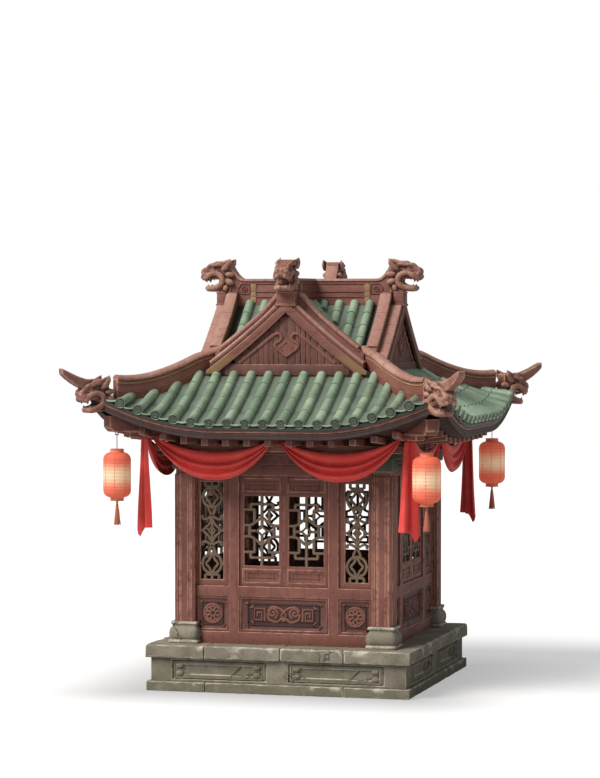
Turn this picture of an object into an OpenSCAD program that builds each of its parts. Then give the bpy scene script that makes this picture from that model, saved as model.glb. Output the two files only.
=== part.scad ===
// Square Chinese pavilion: stone plinth, timber walls with lattice windows between four corner
// columns, upturned tiled eaves under a cross-gabled roof, dragon ridge ends, corner lanterns and
// red cloth drapes. Millimetres, +Z up, origin at the centre of the plinth's underside.
// Side 0 is the front (-Y); sides 1, 2 and 3 are the right, the back and the left.
// Corner 0 is the front right one (+X, -Y); corners 1, 2 and 3 follow it anticlockwise.

/* [Plinth] */
// Half the width of the cap stones
cap_half = 1800; // [1760:5:1850]
// Height of the cap stones' top above the ground
plinth_h = 617; // [560:1:680]
// Thickness of the cap stones
cap_h = 177; // [150:1:200]
// Height of the lowest course
course_h = 132; // [100:1:160]
// How far the lowest course stands back from the cap
course_inset = 11; // [0:1:40]
// How far the dado stands back from the cap
dado_inset = 65; // [40:1:100]
// Radius of the cap's rounded edges
cap_round = 45; // [20:1:60]
// Width of a stone pilaster
pilaster_w = 290; // [240:5:340]
// Depth of the recessed dado panels
panel_recess = 30; // [15:1:50]

/* [Columns] */
// Distance of a column's centre from the middle planes
col_centre = 1348; // [1320:1:1375]
// Half the width of a column
col_half = 145; // [135:1:155]
// Height of a column's top above the ground
col_top = 2867; // [2800:1:2900]
// Height of a column's stone base
base_h = 286; // [240:1:310]
// Half the width of a column base
base_half = 212; // [195:1:225]
// Depth of the grooves down a column
groove = 12; // [6:1:18]
// Height of the neck plate over a column
neck_h = 63; // [45:1:75]
// Height of the bracket block over the neck plate
block_h = 163; // [130:1:180]
// Half the width of the bracket block
block_half = 158; // [150:1:175]

/* [Walls] */
// Depth of the wall's posts and rails
frame_d = 100; // [80:1:120]
// How far the wall's face stands back from the columns' faces
frame_back = 63; // [50:1:75]
// Height of the ground sill
sill_h = 158; // [130:1:180]
// Underside of the middle rail above the ground
mid_rail_z = 1245; // [1200:1:1280]
// Height of the middle rail
mid_rail_h = 137; // [110:1:150]
// Underside of the head rail above the ground
head_rail_z = 2852; // [2780:1:2880]
// Height of the head rail
head_rail_h = 137; // [110:1:150]
// Half the width of the middle bay
bay_half = 612; // [580:1:640]
// Width of a mullion
mullion_w = 138; // [110:1:160]
// Thickness of window sashes and panels
sash_t = 45; // [35:1:60]
// Width of a sash's stiles
stile_w = 68; // [55:1:80]
// Height of a sash's upper and lower panels
sash_panel_h = 205; // [180:1:230]
// Gap round a sash
sash_gap = 0.4; // [0.3:0.1:0.9]

/* [Eaves] */
// Distance of the eave's edge from the middle planes
eave_half = 2390; // [2360:5:2420]
// Underside of the eave boards above the ground
soffit_z = 3360; // [3340:1:3380]
// Rise of the eave at its corners
corner_lift = 449; // [420:1:470]
// Distance from the middle at which the eave starts to rise
lift_start = 700; // [600:10:800]
// Size of a rafter's square section
rafter = 84; // [70:1:90]
// Rafters on each side of the middle one
rafters_a_side = 6; // [5:1:6]
// Spacing of the rafters
rafter_pitch = 297; // [285:1:300]
// Distance of the rafters' ends from the middle planes
rafter_end = 2200; // [2150:5:2220]
// Distance of the eave purlins from the middle planes
purlin_at = 1650; // [1630:1:1670]
// Size of a purlin's square section
purlin = 96; // [80:1:100]
// Thickness of the soffit boards
soffit_t = 18; // [12:1:24]
// Thickness of the eave's edge board
fascia_t = 50; // [40:1:60]
// Height of the eave's edge board
fascia_h = 132; // [110:1:140]
// Width of a corner beam
corner_beam_w = 200; // [170:1:220]
// Height of a corner beam
corner_beam_h = 215; // [190:1:220]
// Distance of a corner beam's end from the middle planes
corner_beam_end = 2190; // [2180:1:2210]
// Height of the bolster under a corner beam
bolster_h = 80; // [60:1:100]
// Width of the bolster under a corner beam
bolster_w = 130; // [100:1:150]
// Distance of a bolster's end from the middle planes
bolster_end = 1975; // [1930:1:1990]

/* [Roof] */
// Distance of the gables from the middle planes
gable_half = 1250; // [1240:1:1280]
// Roof surface above the ground at the gables' feet
skirt_top = 4130; // [4110:5:4180]
// Fall of the roof surface from the gables' feet to the eave
skirt_fall = 600; // [590:1:610]
// Hollow of the lower roof below a straight slope
skirt_sag = 160; // [120:5:180]
// Roof surface at the crest above the ground
crest_z = 5150; // [5120:5:5180]
// Thickness of the roof at the crossing ridges
roof_t = 90; // [70:1:110]
// Spacing of the tile rows on the lower roof
tile_pitch = 241; // [225:1:255]
// Radius of the tubes in the tile rows
tile_r = 60; // [50:2:70]
// Thickness of the roof at the eave
eave_t = 38; // [30:1:44]
// Half the width of the ridges
ridge_half = 70; // [60:1:80]
// Height of the main ridges above the crest
ridge_h = 290; // [270:5:330]
// Height of the hip ridges above the roof
hip_h = 270; // [240:5:290]
// Height of the ridges along the gables' edges
rake_h = 180; // [160:5:220]
// Width of those ridges
rake_w = 132; // [110:2:150]
// Height of the step along their outer side
rake_step = 60; // [45:5:90]
// Extra height that those ridges gain towards the crest
rake_rise = 120; // [0:10:140]
// Depth of the barge boards below the roof's surface
barge_w = 138; // [110:2:160]
// Thickness of the barge boards
barge_t = 35; // [25:1:45]

/* [Dragons] */
// Length of a dragon head on a main ridge
ridge_head_l = 433; // [410:1:450]
// Length of a dragon head on a hip, from the hip ridge's end to the snout
hip_head_l = 415; // [400:1:430]
// Reach of a hip dragon's horn past the eave
horn_reach = 291; // [260:1:310]
// Width of a dragon head on a main ridge
ridge_head_w = 340; // [300:5:380]
// Width of a dragon head on a hip
hip_head_w = 290; // [250:5:320]
// Width of the end block under a main ridge's dragon head
end_block_w = 250; // [220:5:280]

/* [Lanterns] */
// Distance of a lantern from the middle planes
lantern_at = 2085; // [2070:1:2100]
// Radius of a lantern's paper shade
shade_r = 184; // [170:1:200]
// Height of a lantern's paper shade
shade_h = 588; // [540:2:620]
// Thickness of the paper shade
shade_t = 4; // [3:1:6]
// Length from the hook pin to the top collar
hanger_l = 190; // [175:5:205]
// Radius of the collars at both ends of the shade
collar_r = 88; // [75:1:100]
// Height of a collar
collar_h = 47; // [35:1:55]
// Length of the tassel under the lantern
tassel_l = 322; // [280:1:360]
// Radius of the hook's pin
pin_r = 6; // [5:0.5:8]
// Running clearance between the pin and the hanger's eye
pin_gap = 0.08; // [0.05:0.01:0.1]

/* [Drapes] */
// Thickness of the cloth folds
fold_t = 60; // [40:1:80]
// Drop of a swag's lower edge at its middle
swag_drop = 520; // [460:5:560]
// Drop of a swag's upper edge at its middle
swag_top_drop = 150; // [120:5:180]
// Distance of the drapes from the middle planes
drape_at = 1800; // [1780:1:1810]
// Height of the foot of the corner tails above the ground
tail_foot = 2040; // [1950:5:2150]
// Half the width of a tail at its foot
tail_half = 165; // [140:1:180]

/* [Hidden] */

stone = [0.50, 0.49, 0.44];
wood = [0.48, 0.31, 0.27];
dark_wood = [0.33, 0.21, 0.18];
green_paint = [0.33, 0.42, 0.30];
glaze = [0.55, 0.66, 0.54];
paper = [0.95, 0.55, 0.38];
red_cloth = [0.76, 0.22, 0.20];
iron = [0.25, 0.22, 0.20];

seat = 0.4;                                   // clearance between pieces that lie on each other
tile_gap = 0.5;                               // clearance under the middle tile rows
cap_z = plinth_h - cap_h;
dado_half = cap_half - dado_inset;
base_z = plinth_h + base_h;
col_in = col_centre - col_half;               // the columns' inner faces
col_out = col_centre + col_half;              // the columns' outer faces
frame_out = col_out - frame_back;             // the wall's outer face
frame_in = frame_out - frame_d;
sill_top = plinth_h + sill_h;
window_z = mid_rail_z + mid_rail_h;
bay_out = bay_half + mullion_w;
sash_out = frame_out - 30;                    // the sashes' outer face
panel_frame = 30;                             // raised edge round a panel
block_z = col_top + neck_h;
head_z = block_z + block_h;
corner_beam_z = soffit_z + bolster_h;         // underside of the corner beams
rafter_z = soffit_z - rafter;
purlin_z = rafter_z - purlin;
eave_run = eave_half - gable_half;
corner_cut = eave_half - 120;                 // where the roof's corners end under the dragons
fascia_out = eave_half - 35;
fascia_in = fascia_out - fascia_t;
board_drop = 3;                               // room between the edge board and the roof boards
soffit_in = frame_out;
crest_fall = crest_z - skirt_top;
crest_bow = 0.164;                            // share of the upper slope's fall that curves
roof_rows = 9;                                // strips between the gables' feet and the eave
roof_cols = 28;                               // strips from end to end of each side
tile_bed = 60;                                // height of the tubes' middle over the roof boards
end_plane = gable_half + 60;                  // the main ridges' end faces
rake_out = gable_half - 102;                  // outer face of the ridges along the gables
head_back = 1140;                             // back of a dragon head on a main ridge
ridge_straight = head_back - 200;             // where a main ridge starts to sweep up
neck_rise = 190;                              // how far it has risen at the dragon's back
head_seat = crest_z + 130;                    // underside of a dragon head on a main ridge
hip_start = 950;
hip_head_back = eave_half - 285;
pin_z = corner_beam_z - 35;
eye_r = 14;
eye_l = 14;
leg_at = 20;                                  // the hook's legs, each side of the lantern
shade_top = pin_z - hanger_l - collar_h;
shade_foot = shade_top - shade_h;
swag_in = 65;                                 // a swag's inner end
swag_out = drape_at - 130;                    // a swag's outer end
swag_z = soffit_z - 30;                       // a swag's top beside the ties at its ends
tie_w = 30;
across = sqrt(2);                             // distance along a diagonal for each unit of x

// ---------- curves ----------

// rise of the eave at x
function lift(x) =
  corner_lift * pow(max(0, abs(x) - lift_start) / (eave_half - lift_start), 1.886);

// share of the way from the gable's foot to the eave
function run(s) = (s - gable_half) / eave_run;

// surface of the lower roof at x along the eave and s out from the middle
function skirt(x, s) = skirt_top - skirt_fall * run(s) - skirt_sag * run(s) * (1 - run(s))
  + lift(x) * pow(run(s), 1.4);

// thickness of the lower roof at s
function skirt_t(s) = eave_t + (roof_t - eave_t) * (1 - run(s));

// surface of the upper roof at the distance s from a ridge
function slope(s) = let(v = abs(s) / gable_half)
  crest_z - crest_fall * ((1 + crest_bow) * v - crest_bow * v * v);

// underside of the soffit at x and s
function soffit(x, s) = soffit_z + lift(x) * max(0, s - soffit_in) / (fascia_in - soffit_in);

// widest x of the lower roof at s: mitred, and cut off square to the diagonal at the corner
function reach(s) = min(s, 2 * corner_cut - s);

// x positions across one side of the roof at s, n spaces, drawn in by gap
function spread(s, n, gap) = [for (i = [-n / 2:n / 2]) (reach(s) - gap) * 2 * i / n];

// distance of a row of the lower roof's mesh from the middle plane
function roof_row(j) = gable_half + seat + (eave_run - seat) * j / roof_rows;

// the two rows around s, and the share of the way from one to the other
function row_at(s) = let(
    step = (eave_run - seat) / roof_rows,
    j = max(0, min(roof_rows - 1, floor((s - roof_row(0)) / step))))
  [roof_row(j), roof_row(j + 1), (s - roof_row(j)) / step];

// height of the roof boards at x and s, on the flat facets that skin() makes of them
function facet(x, s) = let(
    r = row_at(s),
    v = r[2],
    wa = reach(r[0]) - seat,
    wb = reach(r[1]) - seat,
    f = (x / (wa + (wb - wa) * v) + 1) * roof_cols / 2,
    c = max(0, min(roof_cols - 1, floor(f))),
    u = f - c,
    xs = [2 * c / roof_cols - 1, 2 * (c + 1) / roof_cols - 1],
    a0 = skirt(wa * xs[0], r[0]),
    a1 = skirt(wa * xs[1], r[0]),
    b0 = skirt(wb * xs[0], r[1]),
    b1 = skirt(wb * xs[1], r[1]))
  u > v ? a0 + u * (a1 - a0) + v * (b1 - a1) : a0 + v * (b0 - a0) + u * (b1 - b0);

// height of the hip at t, along the straight stretches between the rows
function hip_line(t) =
  let(
    j = max(0, min(roof_rows - 2, floor((t - roof_row(0)) / (roof_row(1) - roof_row(0))))),
    a = roof_row(j),
    b = roof_row(j + 1)
  )
  skirt(a, a) + (skirt(b, b) - skirt(a, a)) * (t - a) / (b - a);

// n points of an arc
function arc(x, y, r, from, to, n) =
  [for (i = [0:n]) [x + r * cos(from + (to - from) * i / n), y + r * sin(from + (to - from) * i / n)]];

// lower edge of a barge board at x
function barge_foot(x) = slope(x) - barge_w;

// ---------- helpers ----------

// turns its children from the front to another side
module on_side(k) rotate([0, 0, 90 * k]) children();

// repeats its children on all sides
module each_side() for (k = [0:3]) on_side(k) children();

// turns a piece drawn along +X to a corner's diagonal
module on_corner(k) rotate([0, 0, 90 * k - 45]) children();

// a block from one corner to the opposite one
module block(low, high) translate(low) cube(high - low);

// a square slab centred on the origin
module slab(half, low, high) block([-half, -half, low], [half, half, high]);

// a profile in X and Z, pushed along Y between two planes
module profile_y(from, to) translate([0, to, 0]) rotate([90, 0, 0])
  linear_extrude(to - from) children();

// the same profile in both directions, where they cross
module crossed(half) intersection() {
  profile_y(-half, half) children();
  rotate([0, 0, 90]) profile_y(-half, half) children();
}

// a closed skin between an upper and a lower grid of points, rows running outwards to -Y
module skin(top, low) {
  rows = len(top);
  cols = len(top[0]);
  n = rows * cols;
  points = concat([for (r = top) each r], [for (r = low) each r]);
  faces = concat(
    [for (r = [0:rows - 2], c = [0:cols - 2]) let(a = r * cols + c) each
      [[a, a + 1, a + cols + 1], [a, a + cols + 1, a + cols]]],
    [for (r = [0:rows - 2], c = [0:cols - 2]) let(a = n + r * cols + c) each
      [[a, a + cols + 1, a + 1], [a, a + cols, a + cols + 1]]],
    [for (c = [0:cols - 2]) each
      [[c + 1, c, n + c], [c + 1, n + c, n + c + 1]]],
    [for (c = [0:cols - 2]) let(a = n - cols + c) each
      [[a, a + 1, n + a + 1], [a, n + a + 1, n + a]]],
    [for (r = [0:rows - 2]) let(a = r * cols) each
      [[a, a + cols, n + a + cols], [a, n + a + cols, n + a]]],
    [for (r = [0:rows - 2]) let(a = r * cols + cols - 1) each
      [[a + cols, a, n + a], [a + cols, n + a, n + a + cols]]]
  );
  polyhedron(points, faces);
}

// a flat board with a framed hole: outer size, hole size, thickness
module framed(x0, x1, z0, z1, holes, out, t) difference() {
  block([x0, -out, z0], [x1, -out + t, z1]);
  for (h = holes) block([h[0], -out - 1, h[2]], [h[1], -out + t + 1, h[3]]);
}

// ---------- plinth ----------

module plinth_base_course() color(stone) slab(cap_half - course_inset, 0, course_h);

module plinth_dado() color(stone) difference() {
  slab(dado_half, course_h, cap_z);
  each_side() for (m = [-1, 1]) scale([m, 1, 1]) difference() {
    block([pilaster_w / 2, -dado_half - 1, course_h + 30],
      [dado_half - pilaster_w, -dado_half + panel_recess, cap_z - 22]);
    // the raised frame left standing in the recess
    difference() {
      block([pilaster_w / 2 + 30, -dado_half + 12, course_h + 55],
        [dado_half - pilaster_w - 30, -dado_half + panel_recess + 1, cap_z - 47]);
      block([pilaster_w / 2 + 70, -dado_half, course_h + 95],
        [dado_half - pilaster_w - 70, -dado_half + panel_recess + 2, cap_z - 87]);
    }
  }
}

module plinth_cap() color(stone) crossed(cap_half) polygon(concat(
  arc(cap_half - cap_round, cap_z + cap_round, cap_round, -90, 0, 6),
  arc(cap_half - cap_round, plinth_h - cap_round, cap_round, 0, 90, 6),
  arc(-cap_half + cap_round, plinth_h - cap_round, cap_round, 90, 180, 6),
  arc(-cap_half + cap_round, cap_z + cap_round, cap_round, 180, 270, 6)));

// ---------- columns ----------

module column_bases() color(stone) {
  foot_h = base_h * 0.3;
  lid_h = base_h * 0.18;
  bulge_h = base_h - foot_h - lid_h;
  bulge = bulge_h / 2;
  each_side() translate([col_centre, -col_centre, plinth_h]) {
    slab(base_half, 0, foot_h);
    translate([0, 0, foot_h]) crossed(base_half) polygon(concat(
      arc(base_half - 35 - bulge * 0.5, bulge, bulge, -60, 60, 8),
      [[base_half - 60, bulge_h], [-base_half + 60, bulge_h]],
      arc(-base_half + 35 + bulge * 0.5, bulge, bulge, 120, 240, 8),
      [[-base_half + 60, 0], [base_half - 60, 0]]));
    slab(base_half - 37, base_h - lid_h, base_h);
  }
}

// clear space that the walls leave round the column bases and the bracket blocks
module corner_space() each_side() translate([col_centre, -col_centre, 0]) {
  slab(base_half + seat, 0, base_z + seat);
  slab(block_half + seat, block_z - seat, head_z + seat);
}

module corner_columns() color(wood) each_side()
  translate([col_centre, -col_centre, base_z]) linear_extrude(col_top - base_z) polygon([
    for (k = [0:3], p = [
      [-1, 1 / 3, 0], [1 / 6, 1 / 3, 0], [1 / 4, 1 / 3, 1], [1 / 3, 1 / 3, 0],
      [2 / 3, 1 / 3, 0], [3 / 4, 1 / 3, 1], [5 / 6, 1 / 3, 0]])
      let(
        bevel = groove * 1.2,
        along = p[0] < 0 ? -col_half + bevel : -col_half + 2 * col_half * p[0],
        out = col_half - groove * p[2],
        a = 90 * k
      )
      [along * cos(a) + out * sin(a), along * sin(a) - out * cos(a)],
  ]);

module column_heads() {
  each_side() translate([col_centre, -col_centre, 0]) {
    color(wood) slab(block_half - 35, col_top, block_z);
    color(green_paint) {
      slab(block_half, block_z, head_z);
      slab(col_half, head_z, soffit_z);
      // arms out to the purlins
      block([-55, col_centre - purlin_at - purlin / 2, head_z], [55, 0, purlin_z]);
      block([0, -55, head_z], [purlin_at - col_centre + purlin / 2, 55, purlin_z]);
    }
  }
}

// ---------- walls ----------

module wall_frame(k) color(wood) on_side(k) difference() {
  union() {
    for (z = [[plinth_h, sill_top], [mid_rail_z, window_z], [head_rail_z, head_rail_z + head_rail_h]])
      block([-col_in, -frame_out, z[0]], [col_in, -frame_in, z[1]]);
    for (m = [-1, 1]) translate([m * (bay_half + mullion_w / 2), 0, 0])
      block([-mullion_w / 2, -frame_out, plinth_h], [mullion_w / 2, -frame_in, head_rail_z + 1]);
  }
  corner_space();
}

// a pair of sashes in the middle bay, each with an open light between two panels
module window_sashes(k) color(wood) on_side(k) {
  z0 = window_z + sash_gap;
  z1 = head_rail_z - sash_gap;
  x0 = sash_gap;
  x1 = bay_half - sash_gap;
  light_z0 = z0 + stile_w + sash_panel_h;
  light_z1 = z1 - stile_w - sash_panel_h;
  for (m = [-1, 1]) scale([m, 1, 1]) {
    framed(x0, x1, z0, z1, [[x0 + stile_w, x1 - stile_w, light_z0, light_z1]], sash_out, sash_t);
    // raised mouldings of the panels
    for (z = [z0 + 35, light_z1 + stile_w - 10]) {
      framed(x0 + 45, x1 - 45, z, z + sash_panel_h - 10,
        [[x0 + 65, x1 - 65, z + 20, z + sash_panel_h - 30]], sash_out + 8, 9);
    }
  }
}

// a narrow window beside each column
module side_windows(k) color(wood) on_side(k) for (m = [-1, 1]) scale([m, 1, 1])
  framed(bay_out + sash_gap, col_in - sash_gap, window_z + sash_gap, head_rail_z - sash_gap,
    [[bay_out + 85, col_in - 54, window_z + 82, head_rail_z - 95]], sash_out, sash_t);

module dado_panels() color(wood) each_side() difference() {
  for (x = [[-bay_half, bay_half], [bay_out, col_in], [-col_in, -bay_out]]) {
    x0 = x[0] + seat;
    x1 = x[1] - seat;
    z0 = sill_top + seat;
    z1 = mid_rail_z - seat;
    block([x0, -sash_out, z0], [x1, -sash_out + sash_t, z1]);
    framed(x0, x1, z0, z1,
      [[x0 + panel_frame, x1 - panel_frame, z0 + panel_frame, z1 - panel_frame]], sash_out + 18, 19);
  }
  corner_space();
}

// carved board over the head rail, under the plate that carries the soffit
module frieze_boards() color(dark_wood) each_side() {
  low = head_rail_z + head_rail_h;
  block([-col_centre + block_half + seat, -frame_out + 10, low],
    [col_centre - block_half - seat, -frame_in, purlin_z - 10]);
  block([-col_in + seat, -frame_out, purlin_z - 10], [col_in - seat, -frame_in, soffit_z]);
}

// ---------- eaves ----------

module purlins() color(wood) for (k = [0:3]) on_side(k) {
  // the front and back ones run through, the others butt against them
  end = k % 2 == 0 ? purlin_at + purlin / 2 : purlin_at - purlin / 2 - seat;
  block([-end, -purlin_at - purlin / 2, purlin_z], [end, -purlin_at + purlin / 2, rafter_z]);
}

module rafters() color(wood) each_side() for (i = [-rafters_a_side:rafters_a_side]) {
  x = i * rafter_pitch * 0.955;
  start = max(soffit_in + seat, abs(x) + corner_beam_w * 0.8);
  near = max(0, abs(x) - rafter / 2);
  rise = soffit(near, rafter_end) - soffit(near, start);
  tilt = atan(rise / (rafter_end - start));
  translate([x - rafter / 2, -start, soffit(near, start)]) rotate([-tilt, 0, 0])
    translate([0, -(rafter_end - start) / cos(tilt), -rafter / cos(tilt)])
      cube([rafter, (rafter_end - start) / cos(tilt) - rafter * sin(tilt), rafter / cos(tilt)]);
}

module corner_beams() color(wood) for (k = [0:3]) on_corner(k) {
  root = (col_centre - 80) * across;
  end = corner_beam_end * across;
  profile_y(-corner_beam_w / 2, corner_beam_w / 2) polygon([
    [root, corner_beam_z],
    [end - 60, corner_beam_z],
    [end, corner_beam_z + 60],
    [end, corner_beam_z + corner_beam_h],
    [root, corner_beam_z + corner_beam_h]
  ]);
  block([root, -bolster_w / 2, soffit_z], [bolster_end * across, bolster_w / 2, corner_beam_z + 1]);
}

// soffit and edge board of each side; the soffits leave room for the corner beams
module eave_boards() color(dark_wood) each_side() {
  n = 24;
  beam_room = (corner_beam_w / 2 + seat) * across;
  soffit_rows = [for (i = [0:4]) soffit_in + (fascia_in - seat - soffit_in) * i / 4];
  edge_rows = [fascia_in, fascia_out];
  edge_foot = skirt(0, fascia_out) - skirt_t(fascia_out) - fascia_h;
  skin([for (s = soffit_rows) [for (i = [-n / 2:n / 2]) let(x = (s - beam_room) * 2 * i / n)
      [x, -s, soffit(x, s) + soffit_t]]],
    [for (s = soffit_rows) [for (i = [-n / 2:n / 2]) let(x = (s - beam_room) * 2 * i / n)
      [x, -s, soffit(x, s)]]]);
  skin([for (s = edge_rows) [for (x = spread(s, n, seat))
      [x, -s, skirt(x, s) - skirt_t(s) - board_drop]]],
    [for (s = edge_rows) [for (x = spread(s, n, seat)) [x, -s, edge_foot + lift(x)]]]);
}

// ---------- roof ----------

module skirt_roof(k) color(glaze) on_side(k) {
  ss = [for (j = [0:roof_rows]) roof_row(j)];
  skin([for (s = ss) [for (x = spread(s, roof_cols, seat)) [x, -s, skirt(x, s)]]],
    [for (s = ss) [for (x = spread(s, roof_cols, seat)) [x, -s, skirt(x, s) - skirt_t(s)]]]);
}

// where a tile row starts: in front of the barge boards, clear of the hip ridge and its head
function tile_start(x) = let(
    inner = abs(x) + tile_r,
    by_ridge = inner + (ridge_half + seat) * across,
    by_head = inner + (hip_head_w / 2 + 2) * across)
  max(gable_half + barge_t + 30, inner + by_head > 2 * hip_head_back ? by_head : by_ridge);

// one row of half-round tiles down the lower roof
module tile_row(x) {
  start = tile_start(x);
  step = abs(x) < gable_half - 300 ? 1 : 0.5;
  ss = concat([start],
    [for (j = [0:step:roof_rows]) if (roof_row(j) > start + 20) roof_row(j)]);
  // the roof's facets all lean the same way, so the rows to the right need more room
  under = tile_gap + (x > 0 ? 2.8 : 1.5) * pow(abs(x) / corner_cut, 1.3);
  xs = [for (u = [-1, -0.5, 0.5, 1]) x + tile_r * u];
  hs = [for (u = [0, 0.9, 0.9, 0]) tile_bed + tile_r * u];
  skin([for (s = ss) [for (i = [0:3]) [xs[i], -s, facet(xs[i], s) + hs[i]]]],
    [for (s = ss) [for (i = [0:3]) [xs[i], -s, facet(xs[i], s) + under]]]);
}

module skirt_tile_rows() color(glaze) each_side()
  for (i = [-9:9]) if (tile_start(i * tile_pitch) < eave_half - 100) tile_row(i * tile_pitch);

// everything under the upper roof's surface, lowered by down
module under_slopes(down, half) {
  n = 20;
  low = skirt_top - roof_t - (down > 0 ? 1 : 0);
  for (a = [0, 90]) rotate([0, 0, a]) profile_y(-half, half) polygon(concat(
    [for (i = [-n:n]) [gable_half * i / n, slope(gable_half * i / n) - down]],
    [[gable_half, low], [-gable_half, low]]));
}

module upper_roof() color(glaze) difference() {
  under_slopes(0, gable_half);
  under_slopes(roof_t, gable_half + 1);
}

// planks, their sill and the beam across the foot of each gable
module gable_walls() color(wood) each_side() {
  n = 16;
  half = gable_half - 60;
  profile_y(-gable_half + 15, -gable_half + 45) polygon(concat(
    [for (i = [-n:n]) [half * i / n, slope(half * i / n) - roof_t - seat]],
    [[half, skirt_top - roof_t], [-half, skirt_top - roof_t]]));
  sill = gable_half * 0.88;
  beam = gable_half * 0.68;
  block([-sill, -gable_half, skirt_top - roof_t], [sill, -gable_half + 30, skirt_top]);
  block([-beam, -gable_half - 25, skirt_top + 50], [beam, -gable_half + 20, skirt_top + 190]);
}

// room round a main ridge's end block
module block_space() each_side()
  block([-end_block_w / 2 - seat, -end_plane - 1, crest_z - 60 - seat],
    [end_block_w / 2 + seat, -gable_half + 81, crest_z + ridge_h]);

module barge_boards() color(wood) difference() {
  each_side() {
    n = 12;
    half = gable_half - 150;
    intersection() {
      profile_y(-gable_half - 25 - barge_t, -gable_half - 25 - seat) polygon(concat(
        [for (i = [-n:n]) [half * i / n, slope(half * i / n)]],
        [for (i = [n:-1:-n]) [half * i / n, barge_foot(half * i / n)]]));
      block([-half, -end_plane - 1, skirt_top + 60], [half, 0, crest_z]);
    }
  }
  block_space();
}

// a strip along both slopes of the front gable, from one distance from the middle to another
module rake_strip(from, to, half, height, rise) {
  n = 12;
  profile_y(-to, -from) polygon(concat(
    [for (i = [-n:n]) let(x = half * i / n)
      [x, slope(x) + height + rise * pow(max(0, 1 - abs(x) / 450), 2)]],
    [for (i = [n:-1:-n]) [half * i / n, slope(half * i / n) + seat]]));
}

module rake_ridges() color(dark_wood) difference() {
  each_side() {
    rake_strip(rake_out - rake_w, rake_out, gable_half - 230, rake_h, rake_rise);
    rake_strip(rake_out - 30, end_plane - 20, gable_half - 200, rake_step, 0);
  }
  block_space();
  each_side() block([-ridge_half - seat, -end_plane, crest_z - 200],
    [ridge_half + seat, 0, crest_z + ridge_h + 200]);
  each_side() block([-ridge_head_w / 2 - seat, -end_plane, head_seat - seat],
    [ridge_head_w / 2 + seat, 0, crest_z + ridge_h + 200]);
  for (k = [0:3]) on_corner(k) block([hip_start * across - 20, -ridge_half + 5 - seat, skirt_top],
    [end_plane * across, ridge_half - 5 + seat, crest_z + ridge_h]);
}

module main_ridges() color(dark_wood) difference() {
  union() {
    for (a = [0, 90]) rotate([0, 0, a]) profile_y(-ridge_half, ridge_half) polygon(concat(
      [[-end_plane, head_seat]], [[-head_back, head_seat]],
      [for (i = [4:-1:0]) let(v = i / 4)
        [-ridge_straight - (head_back - ridge_straight) * v, crest_z + ridge_h + neck_rise * v * v]],
      [for (i = [0:4]) let(v = i / 4)
        [ridge_straight + (head_back - ridge_straight) * v, crest_z + ridge_h + neck_rise * v * v]],
      [[head_back, head_seat], [end_plane, head_seat], [end_plane, crest_z - 60],
        [-end_plane, crest_z - 60]]));
    each_side() block([-end_block_w / 2, -end_plane, crest_z - 60],
      [end_block_w / 2, -end_plane + 125, head_seat]);
  }
  under_slopes(0, gable_half);
  gable_walls();
}

module hip_ridges() color(dark_wood) for (k = [0:3]) on_corner(k) {
  rows = [for (j = [0:roof_rows]) if (roof_row(j) < hip_head_back) roof_row(j)];
  ts = concat(rows, [hip_head_back]);
  profile_y(-ridge_half + 5, ridge_half - 5) polygon(concat(
    [[hip_start * across, slope(hip_start) + hip_h * 0.65]],
    [for (t = ts) [t * across, hip_line(t) + hip_h]],
    [for (i = [len(ts) - 1:-1:0]) [ts[i] * across, hip_line(ts[i]) + seat]],
    [[gable_half * across - 2, skirt_top + 36], [hip_start * across, slope(hip_start) + 36]]));
}

// ---------- dragons ----------

module ridge_dragons() color(dark_wood) each_side()
  rotate([0, 0, -90]) profile_y(-ridge_head_w / 2, ridge_head_w / 2) polygon(let(u = ridge_head_l / 511) [
    for (p = [
      [0, 0], [0, 190], [22, 250], [-6, 459], [70, 440], [150, 400], [258, 425], [369, 363],
      [479, 296], [511, 242], [493, 168], [420, 150], [397, 127], [380, 155], [230, 148],
      [260, 100], [431, 80], [420, 35], [369, 6], [260, 0]])
      [head_back + seat + u * p[0], head_seat + seat + p[1]]
  ]);

// the head's snout and its swept-back horn, standing on the roof's cut corner
module hip_dragons() color(dark_wood) for (k = [0:3]) on_corner(k) {
  tip = eave_half + horn_reach;
  u = hip_head_l / 415;
  rows = [for (j = [0:roof_rows]) if (roof_row(j) > hip_head_back && roof_row(j) < corner_cut)
    roof_row(j)];
  ts = concat([hip_head_back + seat], rows, [corner_cut]);
  crown = hip_line(hip_head_back) + hip_h;
  profile_y(-hip_head_w / 2, hip_head_w / 2) polygon(concat(
    [for (t = ts) [t * across, hip_line(t) + seat]],
    [for (p = [
      [2, -420], [60, -440], [170, -400], [210, -310], [110, -260], [230, -240], [250, -190],
      [194, -120], [90, 0]])
      [(corner_cut + seat + u * p[0]) * across, crown + u * p[1]]],
    [[(hip_head_back + seat) * across, crown]]));
  profile_y(-25, 25) polygon([
    [(corner_cut + u * 80) * across, crown - u * 10],
    [(corner_cut + u * 194) * across, crown - u * 119],
    [tip * across, crown + u * 90],
    [tip * across, crown + u * 128],
    [(corner_cut + u * 80) * across, crown + u * 36]
  ]);
}

// ---------- lanterns ----------

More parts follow.
